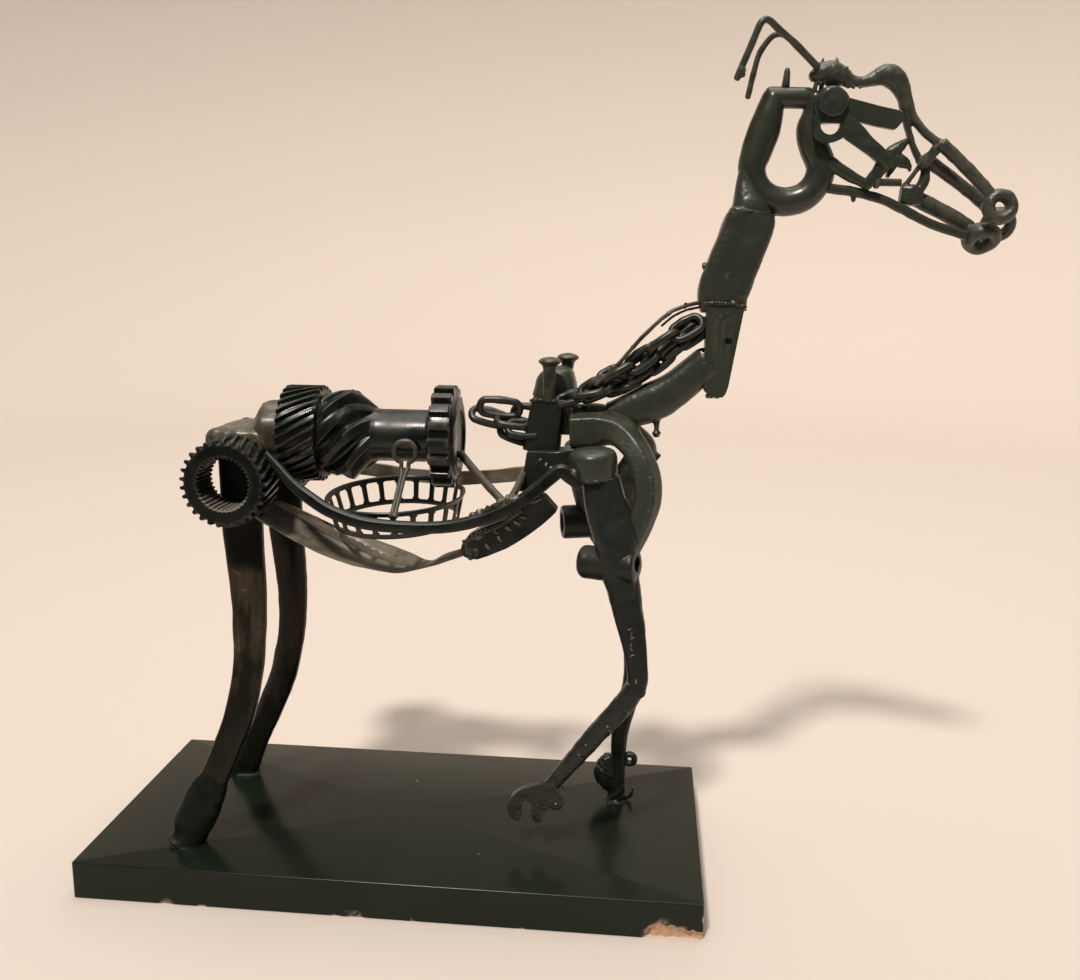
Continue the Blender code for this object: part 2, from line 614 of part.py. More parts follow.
def make_chest(withers):
    """Forked casting of the chest, both forelegs with their caps, and the two hooves."""
    socket, dome, post, rib = withers
    yoke = merged("chest_yoke", "enamel", (
        lambda bm: loft(bm, ((110.5, -12, 304, 14.4, 14.5), (113.0, -12, 304.4, 15.6, 15.6),
                             (126, -12, 305.5, 15.4, 15.6), (138, -12, 305.0, 13.6, 14.4),
                             (143, -12, 303.0, 10.5, 12.0)), sides=10, power=2.6),
        lambda bm: loft(bm, ((132, -17, 303, 8.0, 8.0), (144, -25, 295.5, 6.8, 7.0),
                             (151.5, -34, 283, 6.2, 6.8), (155.2, -41.5, 266, 5.8, 6.4),
                             (153.6, -44, 249, 5.6, 6.0), (149.2, -45, 234.4, 5.4, 5.4)),
                        count=7, sides=8, power=2.6),
        lambda bm: loft(bm, ((134, -6, 303, 8.0, 8.0), (147, 1, 297, 6.6, 7.0),
                             (157.5, 10, 281, 5.6, 6.6), (161.4, 17.5, 261, 5.2, 6.2),
                             (160.6, 22, 240, 5.2, 5.8), (155, 25.5, 226, 5.0, 5.4),
                             (145, 28, 212, 4.6, 5.0)), count=7, sides=8, power=2.6)))
    carve(dome, yoke)
    carve(rib, yoke)
    near = merged("foreleg_near", "enamel", (
        lambda bm: loft(bm, ((127.5, -38, 272.6, 14.6, 13.0), (131, -40, 255, 14.0, 12.0),
                             (136.5, -42.5, 235, 12.6, 10.5), (143.5, -44, 212, 10.8, 8.5),
                             (149.5, -43, 180, 8.6, 6.6), (154.5, -40.5, 154, 6.8, 6.2),
                             (153.8, -38.5, 139, 6.4, 6.2)), count=8, sides=8, power=3.0),
        lambda bm: turned(bm, ((-19.5, 9.4), (-17.5, 10.2), (14, 10.2), (16, 9.2)),
                          (138.6, -44, 220.0), (1, 0, 0.03), 10)))
    drilled(near, (154.6, -44, 221.5), (1, 0, 0.03), 3.4, 9, 10)
    cap_near = turned_piece("shoulder_cap_near", "enamel",
                            ((0, 15.2), (13.5, 15.2), (16.0, 13.6), (17.2, 10.0)),
                            (126.6, -38, 273.4), (-0.08, 0.04, 1), 12)
    far = merged("foreleg_far", "enamel", (
        lambda bm: loft(bm, ((117, 26, 271, 13.0, 11.5), (121.5, 28, 250, 12.6, 11.0),
                             (129, 30, 228, 11.6, 9.5), (138.5, 31, 200, 9.6, 7.6),
                             (146.5, 31, 160, 8.2, 6.4), (149.0, 31, 122, 7.0, 6.0),
                             (147.0, 32, 100, 7.0, 5.8), (142.4, 33.6, 68, 6.0, 5.4),
                             (142.4, 34, 38, 5.0, 5.0)), count=9, sides=8, power=3.0),
        lambda bm: turned(bm, ((-22, 10.4), (-20, 11.4), (16, 11.4), (18, 10.2)),
                          (122.5, 29, 232), (1, 0, 0.03), 10)))
    drilled(far, (103, 29, 231.6), (1, 0, 0.03), 5.0, 9, 10)
    cap_far = turned_piece("shoulder_cap_far", "enamel",
                           ((0, 13.6), (12, 13.6), (14.5, 12.0), (15.6, 9.0)),
                           (116.6, 26, 271.8), (-0.08, -0.04, 1), 12)
    carve(cap_near, yoke, near)
    carve(cap_far, yoke, far)
    carve(near, yoke)
    carve(far, yoke)
    carve(post, yoke, cap_near)
    spanner = make_spanner()
    carve(spanner, near)
    hoof = merged("fore_hoof_far", "enamel", (
        lambda bm: loft(bm, ((131.5, 33, 57, 4.5, 4.5), (129.6, 33, 49, 6.0, 5.5),
                             (131.5, 33.5, 40, 6.2, 5.5), (137, 34, 33, 6.4, 6.0),
                             (140.5, 34, 27, 9.0, 8.5), (140.5, 34, 25.3, 10.0, 9.5)),
                        sides=8, power=2.4),
        lambda bm: loft(bm, ((141, 34, 32, 3.4, 3.4), (150, 34, 31, 1.6, 1.6),
                             (154, 34, 36, 1.2, 1.2)), sides=6)))
    level_foot(hoof)
    carve(hoof, far)
    return yoke, near, cap_near, far, cap_far, spanner, hoof


def make_spanner():
    """Open-jaw spanner: its shank is the lifted shin and its jaw the hoof."""
    y0, y1 = -46.5, -38.5

    def shank(bm):
        loft(bm, ((154.4, -38.5, 139.5, 6.0, 5.2), (144, -39.5, 119, 5.8, 5.0),
                  (128, -41, 102, 5.6, 4.4), (112, -42, 86, 5.2, 4.0),
                  (98, -42.5, 70, 5.4, 3.8)), count=7, sides=8, power=2.6)

    def jaw(bm):
        outer = arc(88.5, 60.5, 13.0, 40, 205, 9)
        notch = ((78.6, 49.4), (82.4, 50.0), (83.2, 56.6), (86.6, 60.6), (91.0, 60.0),
                 (92.4, 55.0), (92.0, 48.6), (96.4, 50.0), (100.2, 57.0), (104.0, 58.6),
                 (107.6, 61.4), (106.0, 66.6))
        plate(bm, outer + list(notch), y0, y1)

    return merged("spanner_hoof", "leg_steel", (shank, jaw))


def chain_link(name, centre, along, roll):
    """One oval link; `along` is its long way and `roll` turns it about that, in degrees."""
    forward = Vector(along).normalized()
    level = forward.cross(Vector((0, 0, 1))).normalized()
    upright = level.cross(forward)
    turn = math.radians(roll)
    face = level * math.cos(turn) + upright * math.sin(turn)
    side = face.cross(forward)
    bend = LINK_WIDE / 2 - LINK_WIRE_R
    reach = LINK_LONG / 2 - LINK_WIRE_R - bend
    route = []
    for sign, start in ((1, -90), (-1, 90)):
        for i in range(4):
            a = math.radians(start + 60 * i)
            route.append(Vector(centre) + forward * (sign * reach + bend * math.cos(a))
                         + side * (bend * math.sin(a)))
    return rod(name, "enamel", route, LINK_WIRE_R, resolution=1, closed=True)


def make_chain():
    """Eight links: three between the end gear and the socket, five up the neck."""
    places = [((50.2, -14.0, 305.8), (1, 0.10, -0.22), -42),
              ((62.4, -8.0, 311.6), (1, 0.15, 0.10), 48),
              ((69.2, -19.0, 301.4), (1, 0.05, -0.30), -27)]
    pitch = LINK_LONG - 4 * LINK_WIRE_R - 1.0
    spot = Vector((126.0, -16.0, 326.4))
    slopes = (20, 31, 40, 45, 47)
    for i, slope in enumerate(slopes):
        tilt = math.radians(slope)
        along = Vector((math.cos(tilt), 0.02, math.sin(tilt)))
        places.append((spot, along, 35 if i % 2 else -55))
        joint = math.radians((slope + slopes[min(i + 1, len(slopes) - 1)]) / 2)
        spot = spot + Vector((math.cos(joint), 0.02, math.sin(joint))) * pitch
    return [chain_link("chain_link_%d" % (i + 1), *spot) for i, spot in enumerate(places)]


def make_neck(yoke, bow):
    """Bent tube, drilled plate, upper bar and the wire mane."""
    tube = lofted("neck_tube", "enamel", (
        (144.0, -10, 314.6, 9.2, 9.2), (156, -10, 315.6, 9.6, 9.6),
        (169, -10, 321.4, 10.6, 10.6), (180, -10, 330.0, 11.2, 11.2),
        (196, -10, 345.0, 11.4, 11.4)), count=6, sides=10)
    bm = bmesh.new()
    plate(bm, ((NECK_PLATE_X - GAP, 300), (260, 300), (260, 380), (NECK_PLATE_X - GAP, 380)), -40, 20)
    combine(tube, [hidden("butt", bm)], "DIFFERENCE")
    carve(tube, yoke)
    bm = bmesh.new()
    outline = ((NECK_PLATE_X, 377.4), (212.4, 377.0), (204.8, 329.4), (199.4, 323.0),
               (193.4, 325.2), (NECK_PLATE_X, 327.0))
    plate(bm, outline, -19, -5)
    plate_piece = place("neck_plate", bm, "enamel")
    drilled(plate_piece, (203.6, -12, 357), (0, 1, 0), 2.3, 9, 10)
    upper = lofted("neck_bar", "enamel", (
        (200.4, NECK_Y, 376.0, 14.0, 9.0), (199.6, NECK_Y, 386, 15.4, 10.5),
        (207.0, NECK_Y, 408, 15.2, 10.5), (214.0, NECK_Y, 429, 14.8, 10.5),
        (213.6, NECK_Y + 1, 440, 10.0, 9.5), (211.0, NECK_Y + 2, 454, 6.0, 7.5)),
        count=9, sides=8, power=4.0)
    carve(upper, bow)
    wire = rod("neck_wire", "rusty_rod", ((127.0, -22.4, 334.6), (143, -22, 351), (156, -21, 363.5),
                                          (167, -20, 372.4), (177, -17.5, 376.6),
                                          (188.5, -12, 378.6)), 1.3, count=9, resolution=1)
    carve(wire, upper)
    carve(plate_piece, upper)
    return tube, plate_piece, upper, wire


def make_head():
    """Bow shackle, its pin, and the levers, rods and rings of the face."""
    bow_route = ((223.6, BOW_Y, 499.2, 7.4, 7.4), (220.4, BOW_Y, 489.5, 8.2, 8.2),
                 (218.4, BOW_Y, 478.4, BOW_R, BOW_R), (215.4, BOW_Y, 468.5, BOW_R, BOW_R),
                 (213.6, BOW_Y, 459.6, BOW_R, BOW_R), (216.4, BOW_Y, 449.6, BOW_R, BOW_R),
                 (223.6, BOW_Y, 442.6, BOW_R, BOW_R), (234.2, BOW_Y, 440.0, 8.6, BOW_R),
                 (245.2, BOW_Y, 443.2, 8.6, BOW_R), (252.2, BOW_Y, 451.2, 8.6, BOW_R),
                 (253.8, BOW_Y, 460.8, 8.8, BOW_R), (251.0, BOW_Y, 470.2, BOW_R, BOW_R),
                 (249.2, BOW_Y, 481.2, BOW_R, BOW_R), (249.0, BOW_Y, 497.8, 7.8, 7.8))
    bow = lofted("shackle_bow", "enamel", bow_route, count=17, sides=8, end_round=0.3)
    pin = turned_piece("shackle_pin", "enamel", ((0, PIN_R), (22, PIN_R)),
                       (222.0, BOW_Y, 499.4), (1, 0, -0.02), 12)
    carve(pin, bow)
    bm = bmesh.new()
    eye = arc(256.4, 492.0, 13.6, 205, -20, 10)
    arm = ((271.4, 483.3), (278.1, 476.1), (284.7, 470.1), (290.6, 467.3), (294.3, 462.9),
           (294.8, 456.2), (291.9, 450.7), (284.1, 447.8), (278.3, 450.0), (284.6, 457.3),
           (285.4, 461.2), (279.3, 467.3), (264.6, 475.6), (259.7, 473.4), (250.0, 471.6))
    plate(bm, eye + list(arm), -19.6, -13.6)
    cheek = shade(place("cheek_lever", bm, "enamel"))
    drilled(cheek, (257.0, -16, 484.4), (0, 1, 0), 6.6, 9, 10)
    bolt = turned_piece("pivot_bolt", "enamel", ((0, 9.6), (1.5, 11.0), (6.0, 11.0), (8.0, 8.0)),
                        (256.2, -20.2, 493.2), (0, -1, 0), 12)
    bm = bmesh.new()
    plate(bm, ((258.6, 498.2), (266.1, 496.3), (293.1, 490.2), (298.8, 490.6), (298.8, 484.6),
               (294.4, 479.7), (272.6, 484.1), (259.0, 487.0)), -13.2, -8.4)
    jaw_plate = place("jaw_plate", bm, "enamel")
    carve(jaw_plate, bow)
    brow = make_brow()
    carve(jaw_plate, brow)
    snout_near = snout("snout_rod_near", (323.6, -13.6, 470.4), (348.6, -14.6, 445.2),
                       (355.4, -15, 437.4), 3.5, 8.3, 3.4, (0, 1, 0))
    snout_far = snout("snout_rod_far", (317.5, -1.0, 465.8), (350.0, 3.8, 442.2),
                      (361.2, 5, 430.8), 3.6, 9.4, 3.8, (0, 1, 0))
    chin = snout("chin_rod", (308.6, 2, 445.0), (340.0, 1, 427.0),
                 (351.2, -2, 419.4), 5.2, 7.4, 4.3, (0, 1, 0.55))
    carve(snout_near, brow)
    carve(snout_far, brow, snout_near)
    carve(chin, snout_far)
    jaw_bar = lofted("lower_jaw_bar", "enamel", (
        (256.5, -6, 448.6, 3.2, 2.6), (271.8, -6.4, 446.4, 3.2, 2.6), (289.5, -7, 441.9, 3.0, 2.6),
        (303.2, -7, 435.7, 3.0, 2.6), (319.4, -7, 428.4, 2.8, 2.6), (340.5, -7, 421.4, 2.6, 2.4)),
        count=10, sides=6, power=3.0)
    carve(jaw_bar, bow, chin)
    rod_cheek = rod("cheek_rod", "rusty_rod", ((260.0, -9, 462.6), (283.6, -9, 449.8)), 2.7)
    carve(rod_cheek, bow, jaw_bar)
    link = merged("bit_link", "enamel", (
        lambda bm: loft(bm, ((290.5, -4, 451.0, 3.8, 4.2), (294.6, -4, 459, 4.4, 4.6),
                             (299.6, -4, 465.2, 5.4, 4.8), (303.6, -4, 473.6, 3.0, 3.4)),
                        count=6, sides=8),
        lambda bm: loft(bm, ((298.6, -4, 468.0, 3.4, 3.6), (301.4, -4, 460.6, 3.4, 3.6),
                             (301.0, -4, 455.4, 2.4, 2.8)), sides=6)))
    clip = merged("bit_clip", "enamel", (
        lambda bm: loft(bm, ((303.4, -3, 446.0, 5.2, 5.4), (310.4, -3, 448.6, 5.4, 5.4)),
                        sides=8, power=4.0),
        lambda bm: loft(bm, ((311.4, -3, 447.4, 3.2, 4.6), (313.6, -3, 455.0, 2.6, 4.4),
                             (315.4, -3, 461.4, 3.0, 4.4)), sides=6)))
    screw = turned_piece("bit_screw", "rusty_rod", ((0, 3.4), (2.4, 3.4), (2.6, 2.2), (14.6, 2.2)),
                         (284.6, -12.0, 451.6), (1, 0.1, 0), 8)
    carve(link, cheek, jaw_bar, brow, rod_cheek)
    carve(clip, brow, snout_far, chin, jaw_bar, link)
    carve(screw, cheek, rod_cheek, link, clip)
    return bow, brow


def make_brow():
    """Brake lever: lumpy root, waist, brow knob and a forked nose bone."""
    return merged("brow_lever", "enamel", (
        lambda bm: loft(bm, ((247.6, -7, 512.6, 4.4, 5.0), (252, -7, 513.2, 6.2, 7.0),
                             (259, -6, 511.6, 6.8, 7.4), (266.5, -6, 510.6, 5.2, 6.0),
                             (275, -6, 507.2, 3.8, 5.0), (283, -6, 509.4, 5.4, 5.4),
                             (291.0, -6, 511.2, 7.6, 6.6), (298, -6, 505.6, 7.2, 6.4),
                             (302.6, -6, 497.0, 6.2, 6.0), (306.0, -6, 488.0, 5.8, 5.8)),
                        count=11, sides=8, power=2.4),
        lambda bm: loft(bm, ((305.0, -6.5, 491.0, 4.6, 4.6), (313.6, -9, 480.6, 3.2, 4.0),
                             (321.0, -11, 472.6, 3.2, 4.0), (317.0, -7, 466.0, 3.2, 3.8),
                             (312.4, -3, 463.0, 3.0, 3.6)), sides=6),
        lambda bm: loft(bm, ((304.6, -6, 490.0, 4.4, 4.4), (307.6, -4.6, 477, 3.2, 4.0),
                             (312.8, -3.2, 464.4, 3.2, 3.8)), sides=6)))


def snout(name, start, stop, centre, rod_r, ring_r, wire_r, axis):
    """A rod that ends in a thick ring."""
    def shank(bm):
        a, b, c = Vector(start), Vector(stop), Vector(centre)
        end = c + (b - c).normalized() * ring_r
        loft(bm, ((*a, rod_r, rod_r), (*b, rod_r, rod_r), (*end, rod_r * 0.8, rod_r * 0.8)), sides=8)

    def ring(bm):
        facing = Vector(axis).normalized()
        side = facing.cross(Vector((0, 0, 1))).normalized()
        up = side.cross(facing)
        rings = []
        for i in range(10):
            a = 2 * math.pi * i / 10
            out = side * math.cos(a) + up * math.sin(a)
            rings.append(ring_points(Vector(centre) + out * ring_r, out, facing,
                                     wire_r, wire_r * 1.15, 6, 2.0))
        bridge(bm, rings, loop=True)

    return merged(name, "rusty_rod", (ring, shank))


def make_ears(bow, brow):
    """Two bent wires for ears and the stud on the poll."""
    near = rod("ear_near", "rusty_rod", ((247.4, -13, 515.0), (234.8, -20, 525.1),
                                         (223.3, -27, 532.4), (217.6, -30, 536.4),
                                         (214.2, -31.5, 536.6), (211.4, -32, 532.8),
                                         (200.8, -30, 506.3)), 2.1, count=9, resolution=1)
    far = rod("ear_far", "rusty_rod", ((249.6, -1.6, 516.0), (238.6, 7, 529.0),
                                       (231.5, 11, 536.6), (227.0, 13.5, 538.2),
                                       (222.5, 15, 536.0), (216.8, 17, 527.6),
                                       (211.2, 16, 503.0)), 1.8, count=9, resolution=1)
    stud = turned_piece("poll_stud", "rusty_rod", ((0, 2.6), (8.5, 2.4), (9.8, 1.6)),
                        (231.0, BOW_Y, 505.6), (0.06, 0, 1), 8)
    carve(near, brow)
    carve(far, brow)
    return near, far, stud


def main():
    """Builds the whole horse."""
    clear_scene()
    root = bpy.data.objects.new("horse", None)
    bpy.context.collection.objects.link(root)
    make_board()
    gears, rump = make_hips()
    legs = make_hind_legs()
    spine = make_spine()
    carve(rump, spine)
    carve(legs[0], spine)
    pin, cage = make_eye_pin(), make_cage()
    carve(pin, cage)
    bar, band, sheet, rear, front, segment = make_belly()
    carve(sheet, legs[0])
    carve(bar, gears[0], spine)
    carve(segment, bar)
    carve(sheet, segment)
    withers = make_withers()
    carve(front, bar, withers[4])
    carve(rear, bar, spine)
    chest = make_chest([withers[i] for i in (0, 1, 4, 5)])
    carve(bar, chest[1], chest[2])
    carve(band, chest[3], gears[1])
    bow, brow = make_head()
    make_neck(chest[0], bow)
    make_chain()
    make_ears(bow, brow)


main()
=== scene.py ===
"""Looks of the horse welded from scrap steel on a painted board.

Sizes and places are in millimetres and become metres when a mesh is made. +X is the way the
horse looks, +Y its far side, +Z is up, and the origin is the middle of the board's underside.
A shape is a numpy grid of points: a section carried along a route, a profile turned about an
axis, a tooth outline carried along an axis, or a sheet that is given a thickness.
"""
import math
from collections import namedtuple

import bpy
import numpy as np
from bpy.props import FloatProperty, FloatVectorProperty, IntProperty, PointerProperty
from bpy.types import Operator, Panel, PropertyGroup
from mathutils import Matrix, Vector


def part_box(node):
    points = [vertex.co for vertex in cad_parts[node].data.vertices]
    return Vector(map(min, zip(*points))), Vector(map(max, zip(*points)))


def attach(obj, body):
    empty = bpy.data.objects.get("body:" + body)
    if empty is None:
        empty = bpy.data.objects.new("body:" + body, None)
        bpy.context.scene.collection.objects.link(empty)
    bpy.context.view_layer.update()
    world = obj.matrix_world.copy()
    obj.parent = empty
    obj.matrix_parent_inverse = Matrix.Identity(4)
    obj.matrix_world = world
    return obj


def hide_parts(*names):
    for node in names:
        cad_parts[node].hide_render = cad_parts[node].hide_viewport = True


bl_info = {
    "name": "Scrap steel horse",
    "version": (1, 0, 0),
    "blender": (4, 5, 0),
    "location": "3D View > Sidebar > Horse",
    "description": "Builds the welded horse, its painted board and the stage round them",
    "category": "Object",
}

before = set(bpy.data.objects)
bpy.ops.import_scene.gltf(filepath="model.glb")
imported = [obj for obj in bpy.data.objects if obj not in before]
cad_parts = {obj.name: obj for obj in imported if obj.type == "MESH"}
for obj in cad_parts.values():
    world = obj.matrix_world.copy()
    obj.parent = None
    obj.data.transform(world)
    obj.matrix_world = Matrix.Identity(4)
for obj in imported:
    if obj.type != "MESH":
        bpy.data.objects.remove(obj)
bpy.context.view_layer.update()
MM = 0.001
BOARD_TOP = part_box("plinth")[1].z / MM
BOARD_HALF = (200.0, 92.0)
BREAK_FROM, BREAK_LONG = 37, 41         # broken corner: its start before the end, its length
HIP = (-102.8, 266.4)
HIP_GEARS = {"hip_gear_near": -56.0, "hip_gear_far": 27.5}
HIP_ROOT, HIP_TIP, HIP_WIDE, HIP_BORE = 24.9, 27.7, 25.0, 17.2
SPINE = (0.0, -10.0, 293.0)
CAGE_PLACE, CAGE_HIGH, CAGE_BOTTOM, CAGE_FLARE = (-5.0, -10.0, 254.8), 18.5, 39.8, 4.5
CARD_FLAT, CARD_BEND, CARD_RISE, CARD_SHARE = 2100, 1500, 36000, 0.45
WAVES = 22                              # sine waves in a smooth noise
CORNER_SHARE = 0.49                     # most of a side that a rounded corner takes
END_SHRINK = 0.94                       # most that a bar's end shrinks
RIM = 0.7                               # narrow rim round a plate's ends
TIP_REACH = 0.8                         # rounding of a wire's end, in its radii
POLE, BLOB_WAVE = 0.18, 1.3             # angle left out at a ball's poles, length of its lumps
BEAD_FLAT, BEAD_STEP = 0.75, 0.45       # a bead's depth and its step, in its radii
RIPPLE, RIPPLE_LONG, WANDER, WANDER_LONG = 0.16, 1.5, 0.13, 5
BORE_ROUND, BORE_FACE, SPLINE_DEEP, SPLINE_STEEP = 0.7, 1.5, 1.1, 1.8
JOINT_SWELL, JOINT_WIDE = 0.16, 0.12    # welded joint of a chain link
ROOT_WEAR, TIP_WEAR = 0.2, 0.9          # what a tooth's ends lose, in shares of the chamfer
EDGE_FROM, EDGE_SPAN = 0.11, 0.09       # fall from which an edge shows wear, and its range
BEVEL_ANGLE = 32                        # degrees from which an edge is bevelled
FINE = "_fine"                          # ending of a piece that stands for a solid

Body = namedtuple("Body", "points faces")


def unit(rows):
    """Vectors of length one: each row divided by its own length."""
    rows = np.asarray(rows, float)
    return rows / np.maximum(np.linalg.norm(rows, axis=-1, keepdims=True), 1e-12)


def spline(points, count):
    """Catmull-Rom curve: on each span a cubic through its two ends whose slope at an end is
    half the step between that end's two neighbours."""
    rows = np.asarray(points, float)
    rows = np.vstack([2 * rows[0] - rows[1], rows, 2 * rows[-1] - rows[-2]])
    u = np.linspace(0, len(rows) - 3, count)
    k = np.minimum(u.astype(int), len(rows) - 4)
    t = (u - k)[:, None]
    a, b, c, d = rows[k], rows[k + 1], rows[k + 2], rows[k + 3]
    return 0.5 * (2 * b + (c - a) * t + (2 * a - 5 * b + 4 * c - d) * t ** 2
                  + (3 * b - a - 3 * c + d) * t ** 3)


def waves(points, size, seed):
    """Smooth noise about 0: a sum of sine waves of random direction and length near `size`."""
    draw = np.random.default_rng(seed)
    way = unit(draw.normal(size=(WAVES, 3)))
    length = size * draw.uniform(0.6, 1.9, WAVES)
    phase = draw.uniform(0, 2 * np.pi, WAVES)
    turns = np.asarray(points) @ (way * (2 * np.pi / length)[:, None]).T + phase
    return np.sin(turns).sum(1) * math.sqrt(2 / WAVES)


def soften(outline, radius, closed=True, steps=4):
    """Rounds the corners of a polyline: near each corner it follows the parabola that touches
    both sides at `radius` from the corner, or at half a side where that is shorter."""
    rows = np.asarray(outline, float)
    before, after = np.roll(rows, 1, 0), np.roll(rows, -1, 0)
    reach_in = np.minimum(radius, CORNER_SHARE * np.linalg.norm(before - rows, axis=1))[:, None]
    reach_out = np.minimum(radius, CORNER_SHARE * np.linalg.norm(after - rows, axis=1))[:, None]
    start = rows + unit(before - rows) * reach_in
    stop = rows + unit(after - rows) * reach_out
    t = np.linspace(0, 1, steps)[None, :, None]
    curve = ((1 - t) ** 2 * start[:, None] + 2 * t * (1 - t) * rows[:, None] + t ** 2 * stop[:, None])
    if not closed:
        curve[0], curve[-1] = rows[0], rows[-1]
        ends = curve[1:-1].reshape(-1, rows.shape[1])
        return np.vstack([rows[:1], ends, rows[-1:]])
    return curve.reshape(-1, rows.shape[1])


def arc(cx, cz, radius, start, stop, count):
    """Points of an arc, with angles in degrees from the first axis towards the second."""
    a = np.radians(np.linspace(start, stop, count))
    return np.stack([cx + radius * np.cos(a), cz + radius * np.sin(a)], 1)


def oval(sides, power):
    """Super-ellipse of half width and half depth 1: power 2 is round, higher is squarer."""
    a = 2 * np.pi * (np.arange(sides) + 0.5) / sides
    c, s = np.cos(a), np.sin(a)
    return np.stack([np.sign(c) * np.abs(c) ** (2 / power), np.sign(s) * np.abs(s) ** (2 / power)], 1)


def outward(body):
    """The body with its faces turned outwards: they are flipped if its volume is negative,
    which is the sum over faces of a sixth of the box product of their corners."""
    volume = 0.0
    for faces in body.faces:
        if isinstance(faces, list):
            faces = np.array([(f[0], f[i], f[i + 1]) for f in faces for i in range(1, len(f) - 1)])
        corner = body.points[faces]
        for i in range(1, faces.shape[1] - 1):
            volume += np.einsum("ij,ij->i", corner[:, 0],
                                np.cross(corner[:, i], corner[:, i + 1])).sum()
    if volume >= 0:
        return body
    turned_faces = [[f[::-1] for f in faces] if isinstance(faces, list) else faces[:, ::-1]
                    for faces in body.faces]
    return Body(body.points, turned_faces)


def skin(grid, loop=False):
    """Closed tube from a grid whose rows are rings: quads between neighbouring rings, and a
    fan to its middle at each end, or quads from the last ring to the first in a loop."""
    rows, cols = grid.shape[:2]
    index = np.arange(rows * cols).reshape(rows, cols)
    low = index if loop else index[:-1]
    high = np.roll(index, -1, 0) if loop else index[1:]
    quads = np.stack([low, np.roll(low, -1, 1), np.roll(high, -1, 1), high], -1).reshape(-1, 4)
    points = grid.reshape(-1, 3)
    if loop:
        return outward(Body(points, [quads]))
    points = np.vstack([points, grid[0].mean(0), grid[-1].mean(0)])
    first, last = index[0], index[-1]
    tips = np.full(cols, rows * cols)
    fans = np.vstack([np.stack([tips, np.roll(first, -1), first], 1),
                      np.stack([tips + 1, last, np.roll(last, -1)], 1)])
    return outward(Body(points, [quads, fans]))


def sweep(route, count=0, sides=28, power=2.0, section=None, up=(0, 1, 0), caps=(0.5, 0.5),
          loop=False):
    """Bar: a section scaled by each row's half width and half depth and carried along the
    rows (x, y, z, half width, half depth). Its width lies across `up`, its depth along it.
    At each end the section shrinks along a quarter circle of the cap's reach."""
    rows = spline(route, count) if count else np.asarray(route, float)
    centre, half = rows[:, :3], rows[:, 3:5]
    if loop:
        tangent = unit(np.roll(centre, -1, 0) - np.roll(centre, 1, 0))
    else:
        tangent = unit(np.gradient(centre, axis=0))
        turn = np.radians(np.array([22.5, 45.0, 67.5, 90.0]))[:, None]
        ends = []
        for end, way, reach in ((0, -1, caps[0]), (-1, 1, caps[1])):
            inset = np.minimum(reach / half[end], END_SHRINK)
            steps = np.hstack([centre[end] + way * tangent[end] * reach * np.sin(turn),
                               half[end] * (1 - inset * (1 - np.cos(turn)))])
            ends.append(steps[::-1] if end == 0 else steps)
        tangent = np.vstack([tangent[:1]] * 4 + [tangent] + [tangent[-1:]] * 4)
        centre = np.vstack([ends[0][:, :3], centre, ends[1][:, :3]])
        half = np.vstack([ends[0][:, 3:], half, ends[1][:, 3:]])
    side = unit(np.cross(np.asarray(up, float), tangent))
    depth = np.cross(tangent, side)
    shape = oval(sides, power) if section is None else np.asarray(section, float)
    grid = (centre[:, None] + side[:, None] * (shape[:, 0] * half[:, :1])[..., None]
            + depth[:, None] * (shape[:, 1] * half[:, 1:])[..., None])
    return skin(grid, loop)


def wire(route, radius, count, sides=14):
    """Round rod or wire: a circle of one radius carried along a route of (x, y, z)."""
    rows = np.asarray(route, float)
    rows = np.hstack([rows[:, :3], np.full((len(rows), 2), radius)])
    return sweep(rows, count, sides, caps=(radius * TIP_REACH,) * 2)


def axes_of(axis):
    """The axis as a unit vector, and two unit vectors across it."""
    along = unit(axis)
    helper = np.array([1.0, 0, 0]) if abs(along[2]) > 0.9 else np.array([0, 0, 1.0])
    side = unit(np.cross(along, helper))
    return along, side, np.cross(side, along)


def turned(profile, centre, axis, sides, round_by):
    """Turned body: a profile of (distance along the axis, radius), its corners rounded, is
    turned about the axis."""
    rows = soften(profile, round_by, closed=False) if round_by else np.asarray(profile, float)
    along, side, up = axes_of(axis)
    a = 2 * np.pi * np.arange(sides) / sides
    ring = side * np.cos(a)[:, None] + up * np.sin(a)[:, None]
    grid = (np.asarray(centre, float) + along * rows[:, :1])[:, None] + ring * rows[:, 1:, None]
    return skin(grid)


